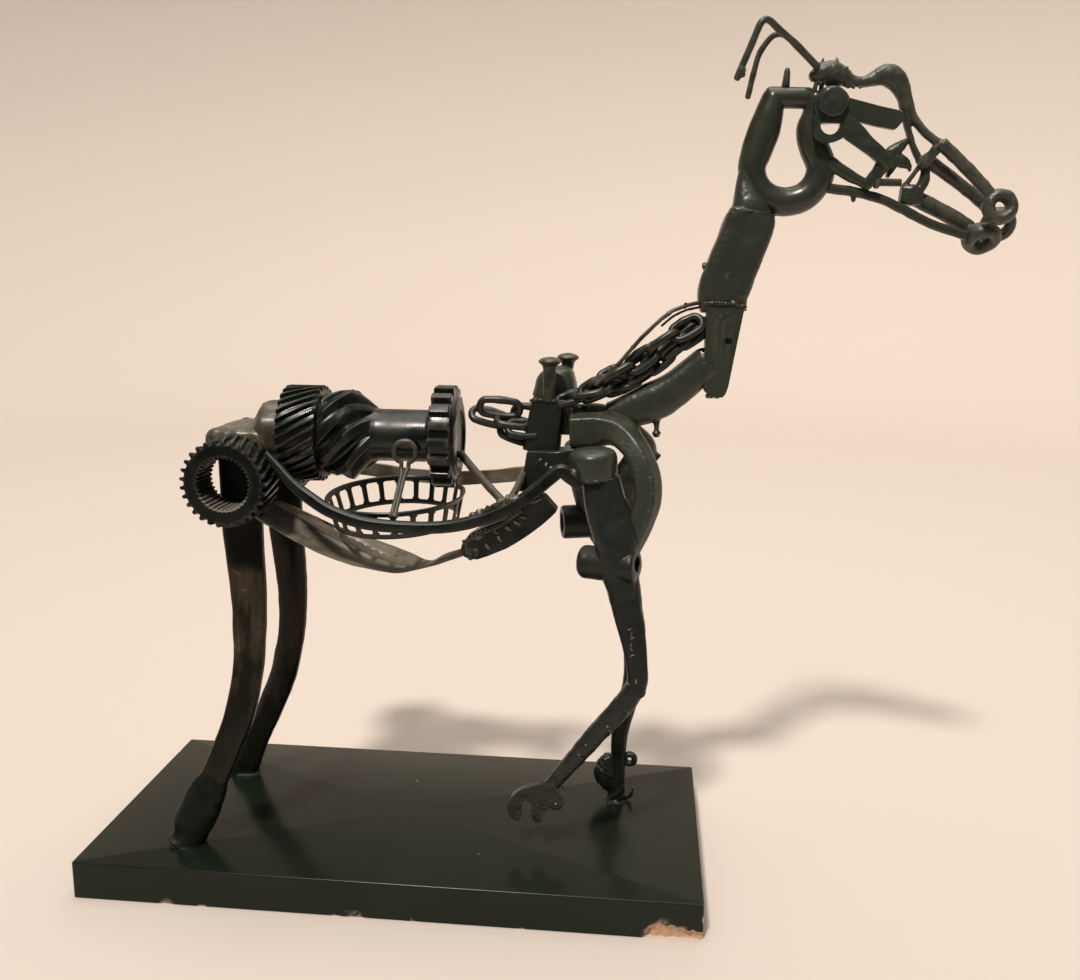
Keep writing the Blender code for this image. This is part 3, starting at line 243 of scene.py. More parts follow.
def gear(centre, axis, rows, teeth, helix, land, flank, samples, inner=10.0, bore=None,
         splines=0, chamfer=0.9, phase=0.0):
    """Toothed wheel: the radius is the root's plus the tooth height times a smooth step of the
    distance to the nearest land, in shares of a pitch. The outline is carried along the axis,
    turned by the helix, and the tooth ends are chamfered. A bore has its own finer splines."""
    along, side, up = axes_of(axis)
    pitch = 2 * np.pi / teeth
    columns = np.arange(teeth * samples) / samples + phase
    share = np.abs((columns - phase + 0.5) % 1 - 0.5)
    rise = np.clip((land + flank - share) / flank, 0, 1)
    rise = rise * rise * (3 - 2 * rise)
    rows = [list(map(float, r)) for r in rows]
    first, last = rows[0], rows[-1]
    lead = math.tan(math.radians(helix)) / first[2]
    full = [(first[0] + chamfer, first[1], first[2])] + rows[1:-1] + [
        (last[0] - chamfer, last[1], last[2])]
    dense = np.array(full)
    many = np.linspace(dense[0, 0], dense[-1, 0], max(8, len(full)))
    many = np.unique(np.concatenate([many, dense[:, 0]]))
    dense = np.stack([many] + [np.interp(many, dense[:, 0], dense[:, i]) for i in (1, 2)], 1)
    worn = np.array([(first[0], first[1] - ROOT_WEAR * chamfer, first[2] - TIP_WEAR * chamfer)])
    far = np.array([(last[0], last[1] - ROOT_WEAR * chamfer, last[2] - TIP_WEAR * chamfer)])
    dense = np.vstack([worn, dense, far])
    angle = columns * pitch + (dense[:, :1] - first[0]) * lead
    radius = dense[:, 1:2] + (dense[:, 2:3] - dense[:, 1:2]) * rise
    distance = np.repeat(dense[:, :1], len(columns), 1)
    edge = bore if bore else inner
    ring_r, ring_a, ring_d = [radius], [angle], [distance]
    if bore:
        # The flat face of each end lies between two plain rings.
        fine = 0.5 + 0.5 * np.clip(SPLINE_STEEP * np.cos(splines * columns * pitch), -1, 1)
        rim = min(first[1], last[1]) - 0.8 * chamfer - 1.0
        half = [(0, rim, 0), (0, edge + BORE_FACE, 0), (0, edge + BORE_ROUND, 0),
                (BORE_ROUND, edge, SPLINE_DEEP)]
        rings = [(last[0] - d, r, depth) for d, r, depth in half]
        rings += [(first[0] + d, r, depth) for d, r, depth in half[::-1]]
        for d, r, depth in rings:
            ring_r.append((r - depth * fine)[None])
            ring_a.append(columns[None] * pitch + (d - first[0]) * lead * (r == rim))
            ring_d.append(np.full((1, len(columns)), d))
    else:
        for d, spot in ((first[0], 0), (last[0], len(ring_r) + 1)):
            ring_r.insert(spot, np.full((1, len(columns)), inner))
            ring_a.insert(spot, (columns * pitch + (d - first[0]) * lead)[None])
            ring_d.insert(spot, np.full((1, len(columns)), d))
    r, a, d = (np.vstack(v)[..., None] for v in (ring_r, ring_a, ring_d))
    grid = np.asarray(centre, float) + along * d + (side * np.cos(a) + up * np.sin(a)) * r
    return skin(grid, loop=bool(bore))


def plate(outline, y0, y1):
    """Flat plate: an outline of (x, z) carried from y0 to y1. Each end has a narrow rim, the
    outline moved in a little along its normals, round one face."""
    rows = np.asarray(outline, float)
    rows = rows[np.linalg.norm(rows - np.roll(rows, 1, 0), axis=1) > 1e-6]
    step = np.roll(rows, -1, 0) - np.roll(rows, 1, 0)
    area = (rows[:, 0] * np.roll(rows[:, 1], -1) - rows[:, 1] * np.roll(rows[:, 0], -1)).sum()
    inner = rows + unit(np.stack([-step[:, 1], step[:, 0]], 1)) * (RIM if area > 0 else -RIM)
    flat = [np.stack([r[:, 0], np.full(len(r), float(y)), r[:, 1]], 1)
            for r, y in ((inner, y0), (rows, y0), (rows, y1), (inner, y1))]
    n = len(rows)
    i = np.arange(n)
    j = (i + 1) % n
    walls = np.vstack([np.stack([i, j, j + n, i + n], 1) + k * n for k in range(3)])
    ends = [list(range(n - 1, -1, -1)), list(range(3 * n, 4 * n))]
    return outward(Body(np.vstack(flat), [walls, ends]))


def shell(grid, thick, wrap=False, holes=None):
    """Sheet with a thickness: the grid and a copy of it moved along its normals, joined along
    every edge that has a face on one side only. `holes` marks the grid's missing faces."""
    rows, cols = grid.shape[:2]
    index = np.arange(rows * cols).reshape(rows, cols)
    right = np.roll(index, -1, 1)
    if wrap:
        quads = np.stack([index[:-1], right[:-1], right[1:], index[1:]], -1)
    else:
        quads = np.stack([index[:-1, :-1], index[:-1, 1:], index[1:, 1:], index[1:, :-1]], -1)
    if holes is not None:
        quads = quads[~holes]
    quads = quads.reshape(-1, 4)
    points = grid.reshape(-1, 3)
    across = np.gradient(grid, axis=1)
    if wrap:
        across = np.roll(grid, -1, 1) - np.roll(grid, 1, 1)
    normal = unit(np.cross(across, np.gradient(grid, axis=0))).reshape(-1, 3)
    n = len(points)
    edges = np.vstack([quads[:, [i, (i + 1) % 4]] for i in range(4)])
    key = edges[:, 0] * n + edges[:, 1]
    lone = edges[~np.isin(key, edges[:, 1] * n + edges[:, 0])]
    walls = np.stack([lone[:, 1], lone[:, 0], lone[:, 0] + n, lone[:, 1] + n], 1)
    body = Body(np.vstack([points + normal * thick / 2, points - normal * thick / 2]),
                [quads, quads[:, ::-1] + n, walls])
    return outward(body)


def blob(centre, radii, seed, lump, sides=14):
    """Bead or knob: a ball squashed to three radii whose surface is moved by smooth noise."""
    v = np.linspace(POLE, np.pi - POLE, sides // 2 + 2)[:, None]
    u = 2 * np.pi * np.arange(sides)[None] / sides
    ball = np.stack([np.sin(v) * np.cos(u), np.sin(v) * np.sin(u), np.cos(v) + 0 * u], -1)
    radii = np.broadcast_to(np.asarray(radii, float), (3,))
    push = waves(ball.reshape(-1, 3), BLOB_WAVE, seed).reshape(*ball.shape[:2], 1)
    ball = ball * (1 + lump * push)
    return skin(np.asarray(centre, float) + ball * radii)


def ring(centre, axis, radius, wire_r, flat, sides=18, count=44):
    """Ring: a circle of wire carried round a circle; `flat` stretches it along the axis."""
    _, side, up = axes_of(axis)
    a = 2 * np.pi * np.arange(count)[:, None] / count
    path = np.asarray(centre, float) + radius * (side * np.cos(a) + up * np.sin(a))
    rows = np.hstack([path, np.full((count, 1), wire_r), np.full((count, 1), wire_r * flat)])
    return sweep(rows, sides=sides, up=axis, loop=True)


def bead(route, radius, seed):
    """Weld bead: a rounded strip along a route whose thickness ripples at about its own
    radius and wanders with smooth noise."""
    rows = np.asarray(route, float)[:, :3]
    length = np.linalg.norm(np.diff(rows, axis=0), axis=1).sum()
    count = max(8, int(length / (radius * BEAD_STEP)))
    path = spline(rows, count)
    s = np.linspace(0, length, count)
    ripple = RIPPLE * np.sin(2 * np.pi * s / (radius * RIPPLE_LONG))
    half = radius * (1 + ripple + WANDER * waves(path, radius * WANDER_LONG, seed))[:, None]
    return sweep(np.hstack([path, half, half * BEAD_FLAT]), sides=10, up=(0.31, 0.9, 0.3),
                 caps=(radius * TIP_REACH,) * 2)


def joined(bodies):
    """One body with the points and faces of several."""
    points, faces, start = [], [], 0
    for body in bodies:
        points.append(body.points)
        for group in body.faces:
            if isinstance(group, list):
                faces.append([[i + start for i in face] for face in group])
            else:
                faces.append(group + start)
        start += len(body.points)
    return Body(np.vstack(points), faces)


def mesh_of(name, body, finish=0):
    """Blender mesh, in metres, of a body; all its faces take one material slot."""
    faces = []
    for group in body.faces:
        faces += group if isinstance(group, list) else group.tolist()
    mesh = bpy.data.meshes.new(name)
    mesh.from_pydata((body.points * MM).tolist(), [], faces)
    if finish:
        mesh.polygons.foreach_set("material_index", np.full(len(mesh.polygons), finish, np.int32))
    mesh.update()
    return mesh


def new_object(name, mesh):
    """An object at the origin that shows the mesh."""
    piece = bpy.data.objects.new(name, mesh)
    bpy.context.scene.collection.objects.link(piece)
    return piece


def settle(piece):
    """Replaces the piece's mesh by what its modifiers make of it."""
    bpy.context.view_layer.update()
    graph = bpy.context.evaluated_depsgraph_get()
    mesh = bpy.data.meshes.new_from_object(piece.evaluated_get(graph))
    piece.modifiers.clear()
    old, piece.data = piece.data, mesh
    bpy.data.meshes.remove(old)
    mesh.name = piece.name


def read(items, name):
    """A row of x, y and z for every item of a mesh."""
    values = np.zeros(len(items) * 3)
    items.foreach_get(name, values)
    return values.reshape(-1, 3)


def mark_edges(mesh):
    """Stores how far each vertex stands out, as the attribute "edge": the mean, over its
    edges, of how far they fall away from its normal, read between two thresholds."""
    points, normal = read(mesh.vertices, "co"), read(mesh.vertex_normals, "vector")
    pairs = np.zeros(len(mesh.edges) * 2, np.int32)
    mesh.edges.foreach_get("vertices", pairs)
    pairs = pairs.reshape(-1, 2)
    way = unit(points[pairs[:, 1]] - points[pairs[:, 0]])
    fall = np.zeros(len(points))
    times = np.zeros(len(points))
    for near, sign in ((0, -1.0), (1, 1.0)):
        np.add.at(fall, pairs[:, near], sign * np.einsum("ij,ij->i", way, normal[pairs[:, near]]))
        np.add.at(times, pairs[:, near], 1)
    out = np.clip((fall / np.maximum(times, 1) - EDGE_FROM) / EDGE_SPAN, 0, 1)
    mark = mesh.attributes.new("edge", "FLOAT", "POINT")
    mark.data.foreach_set("value", out.astype(np.float32))


def place(name, bodies, finish, cuts=(), cut_finish=None, fuse=0.0, ease=0, bores=(), edge=0.0,
          lumps=(), crisp=38.0, floor=None):
    """Makes one named piece of the horse from bodies. A name that ends in _fine stands for the
    solid of the same name without that ending.

    cuts are bodies taken away from it, and cut_finish is the look of what they lay bare; fuse
    is the voxel size, in mm, at which its bodies grow together; ease is how often that skin is
    smoothed; bores are taken away from that skin; edge is the bevel of its sharp edges; lumps
    are (size, depth, seed) of the noise that moves its surface; crisp is the angle past which
    an edge stays sharp; floor is the height below which nothing reaches.
    """
    piece = new_object(name, mesh_of(name, joined(bodies)))
    piece.data.materials.append(material(finish))
    knives = []

    def carve(bodies_away):
        for cut in bodies_away:
            knife = new_object("knife_%d" % len(knives), mesh_of("knife", cut, 1 if cut_finish else 0))
            if cut_finish:
                for shown in (finish, cut_finish):
                    knife.data.materials.append(material(shown))
            step = piece.modifiers.new("cut", "BOOLEAN")
            step.operation, step.solver, step.object = "DIFFERENCE", "EXACT", knife
            step.use_self = len(bodies) > 1 and not fuse
            knives.append(knife)

    if cut_finish:
        piece.data.materials.append(material(cut_finish))
    carve(cuts)
    if fuse:
        step = piece.modifiers.new("fuse", "REMESH")
        step.mode, step.voxel_size = "VOXEL", fuse * MM
    if ease:
        step = piece.modifiers.new("ease", "SMOOTH")
        step.factor, step.iterations = 0.5, ease
    carve(bores)
    if edge:
        step = piece.modifiers.new("edge", "BEVEL")
        step.width, step.segments, step.limit_method = edge * MM, 2, "ANGLE"
        step.angle_limit = math.radians(BEVEL_ANGLE)
    if piece.modifiers:
        settle(piece)
    for knife in knives:
        bpy.data.objects.remove(knife, do_unlink=True)
    mesh = piece.data
    if lumps or floor is not None:
        points, normal = read(mesh.vertices, "co"), read(mesh.vertex_normals, "vector")
        for size, depth, seed in lumps:
            push = depth * MM * waves(points / MM, size, seed)
            points = points + normal * push[:, None]
        if floor is not None:
            points[:, 2] = np.maximum(points[:, 2], floor * MM)
        mesh.vertices.foreach_set("co", points.ravel())
        mesh.update()
    mark_edges(mesh)
    mesh.shade_smooth()
    mesh.set_sharp_from_angle(angle=math.radians(crisp))
    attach(piece, "root")
    if name.endswith(FINE):
        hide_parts(name.removesuffix(FINE))


class Signal:
    """A shader socket for use in Python expressions: each operator adds one Math node."""

    def __init__(self, tree, socket):
        self.tree, self.socket = tree, socket

    def math(self, operation, *values, clamp=False):
        """A Math node of this operation on the values."""
        node = self.tree.nodes.new("ShaderNodeMath")
        node.operation, node.use_clamp = operation, clamp
        for slot, value in zip(node.inputs, values):
            if isinstance(value, Signal):
                self.tree.links.new(value.socket, slot)
            else:
                slot.default_value = value
        return Signal(self.tree, node.outputs[0])

    def __add__(self, other):
        return self.math("ADD", self, other)

    def __radd__(self, other):
        return self.math("ADD", other, self)

    def __sub__(self, other):
        return self.math("SUBTRACT", self, other)

    def __rsub__(self, other):
        return self.math("SUBTRACT", other, self)

    def __mul__(self, other):
        return self.math("MULTIPLY", self, other)

    def __rmul__(self, other):
        return self.math("MULTIPLY", other, self)

    def __pow__(self, other):
        return self.math("POWER", self, other)

    def kept(self):
        """The value held between 0 and 1."""
        return self.math("ADD", self, 0.0, clamp=True)


class Finish:
    """Builds one material: a Principled shader and the nodes that feed it."""

    def __init__(self, name):
        self.material = bpy.data.materials.new(name)
        self.material.use_nodes = True
        self.tree = self.material.node_tree
        self.tree.nodes.clear()
        self.shader = self.node("ShaderNodeBsdfPrincipled")
        self.node("ShaderNodeOutputMaterial", sockets={"Surface": self.shader.outputs["BSDF"]})
        self.place = self.node("ShaderNodeTexCoord").outputs["Object"]

    def node(self, kind, settings=None, sockets=None):
        """Adds a node of this type: first its settings, then its sockets' values or links."""
        node = self.tree.nodes.new(kind)
        for key, value in (settings or {}).items():
            setattr(node, key, value)
        self.feed(node, sockets or {})
        return node

    def feed(self, node, sockets):
        """Sets or links a node's inputs, by name or number."""
        for key, value in sockets.items():
            slot = node.inputs[key]
            if isinstance(value, Signal):
                value = value.socket
            if isinstance(value, bpy.types.NodeSocket):
                self.tree.links.new(value, slot)
            else:
                slot.default_value = value

    def noise(self, per_metre, detail, rough=0.55, stretch=None, warp=0.0):
        """Noise from 0 to 1 on Object coordinates; stretch scales its three axes."""
        place = self.place
        if stretch:
            place = self.node("ShaderNodeMapping", {}, {"Vector": place, "Scale": stretch}).outputs[0]
        node = self.node("ShaderNodeTexNoise", {}, {
            "Vector": place, "Scale": per_metre, "Detail": detail, "Roughness": rough,
            "Distortion": warp})
        return Signal(self.tree, node.outputs["Fac"])

    def spots(self, per_metre):
        """Distance to the nearest of scattered points, in shares of their spacing."""
        node = self.node("ShaderNodeTexVoronoi", {}, {"Vector": self.place, "Scale": per_metre})
        return Signal(self.tree, node.outputs["Distance"])

    def mark(self, name):
        """A number stored on the mesh."""
        node = self.node("ShaderNodeAttribute", {"attribute_name": name})
        return Signal(self.tree, node.outputs["Fac"])

    def part(self, vector, axis):
        """One of a vector's X, Y and Z."""
        split = self.node("ShaderNodeSeparateXYZ", {}, {0: vector})
        return Signal(self.tree, split.outputs[axis])

    def place_mm(self, axis="Z"):
        """A coordinate of the place, in millimetres: its height, unless another is named."""
        return self.part(self.place, axis) * 1000.0

    def facing_up(self):
        """How far the surface looks up, from -1 to 1."""
        return self.part(self.node("ShaderNodeNewGeometry").outputs["Normal"], "Z")

    def step(self, value, low, high):
        """0 below low, 1 above high, and a smooth step between."""
        node = self.node("ShaderNodeMapRange", {"interpolation_type": "SMOOTHSTEP"}, {
            "Value": value, "From Min": low, "From Max": high})
        return Signal(self.tree, node.outputs["Result"])

    def blend(self, share, first, second):
        """Colour between two colours."""
        colours = {6: first, 7: second}
        for key, value in colours.items():
            if not isinstance(value, (bpy.types.NodeSocket, Signal)):
                colours[key] = (*value[:3], 1.0)
        node = self.node("ShaderNodeMix", {"data_type": "RGBA"}, {0: share, **colours})
        return node.outputs[2]

    def relief(self, height, depth_mm):
        """Bump of this height, at the depth given, onto the shader's normal."""
        node = self.node("ShaderNodeBump", {}, {
            "Height": height, "Distance": depth_mm * MM, "Strength": 1.0})
        self.feed(self.shader, {"Normal": node.outputs[0]})

    def done(self, **sockets):
        """Sets the shader's inputs, whose names are given with _ for a space."""
        self.feed(self.shader, {key.replace("_", " "): value for key, value in sockets.items()})
        return self.material


Maker = namedtuple("Maker", "make slot")
FINISHES = {}
MADE = {}


def fills(slot):
    """Lists a function that makes a material, under its own name, with the slot it fills."""
    def listed(make):
        FINISHES[make.__name__] = Maker(make, slot)
        return make
    return listed


def material(name):
    """The material that the listed function of this name makes, made when first asked for."""
    if name not in MADE:
        MADE[name] = FINISHES[name].make(Finish(name), bpy.context.scene.horse_finish)
    return MADE[name]


def brushed(f, paint, cool, warm, roughness, level=0.5):
    """Thick gloss brushed over scrap steel, rubbed brown along its edges, paler on top from dust and
    painted top light.
    """
    blotch = f.noise(46, 4, 0.6)
    rubbed = (f.mark("edge") * f.step(f.noise(150, 3), 0.36, 0.62)).kept()
    # upward faces made paler: partly dust, partly painted top light standing for light from above
    dust_and_top_light = f.step(f.facing_up(), 0.45, 1.0) * f.step(f.noise(95, 4), 0.3, 0.75)
    colour = f.blend(f.step(blotch, 0.35, 0.7), cool, warm)
    colour = f.blend(dust_and_top_light * 0.26, colour, paint.dust_and_top_light)
    colour = f.blend(rubbed * 0.5, colour, paint.rubbed)
    f.relief(f.noise(190, 3) * 0.7 + f.noise(420, 3, 0.6) * 0.3, 0.10)
    return f.done(Base_Color=colour, Roughness=roughness + 0.2 * blotch + 0.15 * dust_and_top_light,
                  Specular_IOR_Level=level)


@fills("enamel")
def leg_gloss(f, paint):
    """Thin dark gloss on the forelegs and the far fore hoof, darker and greener below about 206 mm."""
    high = f.step(f.place_mm(), 206, 226)
    return brushed(f, paint, f.blend(high, paint.gear, paint.leg),
                   f.blend(high, paint.enamel, paint.leg_warm), 0.27, 0.27)


@fills("enamel")
def hoof_gloss(f, paint):
    """Almost black gloss on the hind hooves, with little shine."""
    return brushed(f, paint, paint.gear, paint.enamel, 0.32, 0.15)


@fills("enamel")
def enamel(f, paint):
    """Green-black gloss of the smaller parts."""
    return brushed(f, paint, paint.enamel, paint.enamel_warm, 0.26)


@fills("enamel")
def cast_gloss(f, paint):
    """Greener and thinner gloss on the cast and forged parts of chest, neck and head."""
    return brushed(f, paint, paint.cast, paint.cast_warm, 0.24)


def machined(f, paint, level=0.5, bare=None):
    """The darkest gloss, on machined parts: smoother, with turning marks, paler on top from dust and
    painted top light and along its edges from wear and painted highlight; `bare` is where it
    turns pale, on the hip gears painted light in the lower bore."""
    blotch = f.noise(60, 4, 0.6)
    rubbed = (f.mark("edge") * f.step(f.noise(170, 3), 0.34, 0.6)).kept()
    dust_and_top_light = f.step(f.facing_up(), 0.4, 1.0) * f.step(f.noise(110, 4), 0.3, 0.75)
    colour = f.blend(f.step(blotch, 0.35, 0.7), paint.gear, paint.gear_warm)
    colour = f.blend(dust_and_top_light * 0.25, colour, paint.dust_and_top_light)
    # pale edges: partly wear, partly painted highlight on tooth tips and edges
    colour = f.blend(rubbed * 0.34, colour, paint.dust_and_top_light)
    # bare: painted light, the lit lower bore painted pale
    if bare:
        colour = f.blend(bare, colour, paint.strip_pale)
    marks = f.noise(60, 2, 0.5, stretch=(28.0, 1.0, 1.0))
    f.relief(marks * 0.3 + f.noise(130, 4, 0.6) * 0.7, 0.16)
    return f.done(Base_Color=colour, Roughness=0.2 + 0.24 * f.step(blotch, 0.3, 0.7) + 0.2 * dust_and_top_light,
                  Specular_IOR_Level=level)


@fills("enamel")
def gear_enamel(f, paint):
    """Gloss of the cluster gear, the bar and the toothed segment."""
    return machined(f, paint)


@fills("enamel")
def hip_gloss_painted_lit_bore(f, paint):
    """Gloss of the hip gears, with painted light on the lower splines of the bore: pale where light
    falls into it.
    """
    x = f.place_mm("X") - HIP[0]
    z = f.place_mm() - HIP[1]
    bore = 1 - f.step((x * x + z * z) ** 0.5, HIP_BORE, HIP_BORE + 0.5)
    # low: the lower, upward-facing splines of the bore, painted pale as painted light
    low = f.step(z * -1.0, 6.5, 11.0) * f.step(f.facing_up(), -0.1, 0.4)
    return machined(f, paint, 0.3, bore * low)


@fills("enamel")
def forged_gloss(f, paint):
    """Gloss on forged round bar: even, very smooth, with faint slanting brush strokes."""
    strokes = f.noise(55, 3, 0.5, stretch=(3.2, 1.0, 0.6))
    blotch = f.noise(38, 3, 0.55)
    rubbed = (f.mark("edge") * f.step(f.noise(150, 3), 0.4, 0.62)).kept()
    colour = f.blend(f.step(blotch, 0.35, 0.7), paint.cast, paint.cast_warm)
    colour = f.blend(rubbed * 0.4, colour, paint.rubbed)
    f.relief(strokes * 0.6 + f.noise(170, 2) * 0.4, 0.07)
    return f.done(Base_Color=colour, Roughness=0.2 + 0.14 * blotch)


@fills("enamel")
def rump_gloss(f, paint):
    """Thin glossy paint on the rump plate and the worn scale: warm grey comes through it; its tops are
    paler, dust and painted top light.
    """
    blotch = f.noise(52, 4, 0.6)
    streak = f.noise(26, 3, 0.5, stretch=(1.0, 3.0, 1.0))
    # top: upward faces paler in streaks, partly dust, partly painted top light
    top = f.step(f.facing_up(), 0.25, 0.95)
    colour = f.blend(f.step(blotch, 0.3, 0.7), paint.enamel_warm, paint.rubbed)
    colour = f.blend(top * 0.55 * f.step(streak, 0.2, 0.7), colour, paint.dust_and_top_light)
    f.relief(f.noise(150, 3) * 0.6 + blotch * 0.4, 0.12)
    return f.done(Base_Color=colour, Roughness=0.25 + 0.2 * blotch)


@fills("leg_steel")
def shin_gloss(f, paint):
    """Gloss over a rusty forging: green-black, with brown where the tips are worn."""
    blotch = f.noise(58, 4, 0.6)
    brown = f.step(f.noise(90, 4, 0.62), 0.55, 0.72)
    colour = f.blend(f.step(blotch, 0.35, 0.7), paint.leg, paint.leg_warm)
    colour = f.blend((brown * 0.35).kept(), colour, paint.leg_rust)
    f.relief(f.noise(240, 3) * 0.7 + blotch * 0.3, 0.10)
    return f.done(Base_Color=colour, Roughness=0.25 + 0.2 * blotch, Specular_IOR_Level=0.3)


@fills("leg_steel")
def leg_steel(f, paint):
    """Dark bar with brown varnish runs and rust that shows through in patches."""
    run = f.noise(36, 5, 0.62, stretch=(1.0, 1.0, 0.28), warp=0.4)
    fleck = f.noise(210, 4, 0.65)
    streak = f.noise(120, 3, 0.6, stretch=(1.0, 1.0, 0.1))
    height = f.place_mm()
    bare = (f.step(height, 70, 165) * (1 - f.step(height, 202, 213))).kept()
    rust = (f.step(run * 0.5 + streak * 0.5 + bare * 0.12, 0.47, 0.66) * (bare * 0.8 + 0.15)).kept()
    colour = f.blend(rust, paint.leg_dark, paint.leg_brown)
    spot = f.step(fleck * 0.6 + streak * 0.4, 0.54, 0.68) * rust * 0.7
    colour = f.blend(spot, colour, paint.leg_rust)
    f.relief(f.noise(120, 4, 0.6) * 0.6 + fleck * 0.4, 0.16)
    return f.done(Base_Color=colour, Roughness=0.26 + 0.3 * rust, Specular_IOR_Level=0.17)


@fills("strip_steel")
def strip_steel(f, paint):
    """Thin bare strip: grey-beige, dull, with brown stains and drawn streaks."""
    streak = f.noise(30, 4, 0.6, stretch=(1.0, 2.2, 2.2))
    stain = f.noise(85, 5, 0.62)
    colour = f.blend(f.step(streak, 0.3, 0.7), paint.strip_dark, paint.strip_pale)
    colour = f.blend(f.step(stain, 0.54, 0.72) * 0.6, colour, paint.leg_brown)
    f.relief(streak * 0.5 + f.noise(330, 3) * 0.5, 0.10)
    return f.done(Base_Color=colour, Roughness=0.38 + 0.22 * stain, Metallic=0.35)


def rod(f, paint, cool, brown):
    """Thin rod, nail or screw: gloss worn to brown, with dust and painted top light along its top."""
    wear = f.noise(120, 4, 0.65)
    fine = f.noise(520, 3, 0.6)
    share = (f.step(wear, 0.3, 0.75) * 0.6 + f.mark("edge") * 0.25).kept()
    colour = f.blend(share, cool, brown)
    # paler along the top: partly dust, partly painted top light
    dust_and_top_light = f.step(f.facing_up(), 0.2, 0.95) * 0.3
    colour = f.blend(dust_and_top_light, colour, paint.dust_and_top_light)
    f.relief(wear * 0.5 + fine * 0.5, 0.14)
    return f.done(Base_Color=colour, Roughness=0.27 + 0.24 * wear)


@fills("rusty_rod")
def rusty_rod(f, paint):
    """Rods, rings and wires of the head."""
    return rod(f, paint, paint.cast, paint.rod_brown)


@fills("rusty_rod")
def dark_rod(f, paint):
    """Struts, bolts and mane, browner than the head's rods."""
    return rod(f, paint, paint.enamel_warm, paint.leg_rust)


@fills("board_paint")
def board_paint(f, paint):
    """Dark green gloss on the board: faint brush lines, dust specks and pale worn edges."""
    brush = f.noise(14, 4, 0.55, stretch=(1.0, 9.0, 9.0))
    cloud = f.noise(9, 3, 0.6)
    speck = 1 - f.step(f.spots(34), 0.012, 0.03)
    speck = speck * f.step(f.noise(21, 1), 0.5, 0.6)
    worn = (f.mark("edge") * f.step(f.noise(60, 4, 0.7), 0.42, 0.6)).kept()
    colour = f.blend(f.step(cloud, 0.3, 0.75), paint.board, paint.board_light)
    colour = f.blend((speck + worn * 0.8).kept(), colour, paint.board_worn)
    f.relief(brush * 0.25 + f.noise(160, 2) * 0.75, 0.05)
    return f.done(Base_Color=colour, Roughness=0.15 + 0.12 * cloud + 0.3 * speck,
                  Specular_IOR_Level=0.22)


@fills(None)
def bare_wood(f, paint):
    """Broken wood where the paint has gone: pale, matt, with a short grain along the board."""
    grain = f.noise(150, 4, 0.65, stretch=(0.16, 1.0, 1.0), warp=0.6)
    colour = f.blend(f.step(grain, 0.35, 0.7), paint.wood, paint.wood_dark)
    f.relief(grain, 0.6)
    return f.done(Base_Color=colour, Roughness=0.75)


@fills(None)
def sweep_card(f, paint):
    """Plain pale card of the floor; towards and behind the camera it is painted dark: painted shade that
    stands for a dark room, for dark reflections.
    """
    tone = f.noise(1.2, 2, 0.5)
    colour = f.blend(tone * 0.25, paint.card, tuple(0.93 * v for v in paint.card))
    # front: painted shade, the card painted dark towards and behind the camera
    front = f.step(f.part(f.place, "Y") * -1.0, 0.4, 1.1)
    colour = f.blend(front, colour, tuple(0.12 * v for v in paint.card))
    return f.done(Base_Color=colour, Roughness=0.8 + 0.05 * tone)


def colour(name, value, description):
    """A colour setting."""
    return FloatVectorProperty(name=name, description=description, default=value, size=3,
                               subtype="COLOR", min=0.0, max=1.0)


def length(name, value, description):
    """A size in millimetres."""
    return FloatProperty(name=name, description=description + ", in millimetres",
                         default=value, min=0.01)


class HorseFinish(PropertyGroup):
    """Colours of paint, steel, wood and card."""
    enamel: colour("Gloss", (0.0082, 0.0116, 0.0080), "Green-black gloss over the steel")
    enamel_warm: colour("Warm gloss", (0.0138, 0.0155, 0.0092), "Gloss where brown shows through")
    gear: colour("Gear", (0.0024, 0.0042, 0.0028), "Gloss of the gears")
    gear_warm: colour("Warm gear", (0.0052, 0.0068, 0.0040), "Gears where brown shows through")
    cast: colour("Cast", (0.0268, 0.0332, 0.0236), "Gloss of chest, neck and head")
    cast_warm: colour("Warm cast", (0.0340, 0.0360, 0.0230), "The same where it is thin")
    leg: colour("Leg gloss", (0.0135, 0.0165, 0.0145), "Gloss of forelegs and hooves")
    leg_warm: colour("Warm leg gloss", (0.0175, 0.0195, 0.0135), "The same where it is thin")
    rubbed: colour("Rubbed edge", (0.105, 0.080, 0.052), "Edges worn to brown")
    # colour of dust, also used as painted top light on upward faces and as painted highlight along
    # machined edges
    dust_and_top_light: colour("Dust", (0.150, 0.142, 0.112), "Dust on surfaces that look up")
    leg_dark: colour("Leg dark", (0.0085, 0.0082, 0.0055), "Dark varnish of the hind legs")
    leg_brown: colour("Leg brown", (0.036, 0.026, 0.015), "Brown varnish of the hind legs")
    leg_rust: colour("Leg rust", (0.120, 0.080, 0.048), "Rust flecks of the hind legs")
    strip_pale: colour("Strip pale", (0.240, 0.210, 0.165), "Bare strip steel")
    strip_dark: colour("Strip dark", (0.110, 0.094, 0.066), "Stained strip steel")
    rod_brown: colour("Rod brown", (0.110, 0.092, 0.066), "Thin rods and nails")
    board: colour("Board", (0.0064, 0.0102, 0.0060), "Board paint")
    board_light: colour("Board light", (0.0094, 0.0144, 0.0082), "Board paint where it is thinner")
    board_worn: colour("Board worn", (0.330, 0.300, 0.230), "Specks and worn edges of the board")
    wood: colour("Wood", (0.640, 0.420, 0.280), "Broken wood of the board")
    wood_dark: colour("Wood dark", (0.520, 0.330, 0.210), "Grain of the broken wood")
    card: colour("Card", (0.640, 0.560, 0.502), "Pale card under and behind the horse")


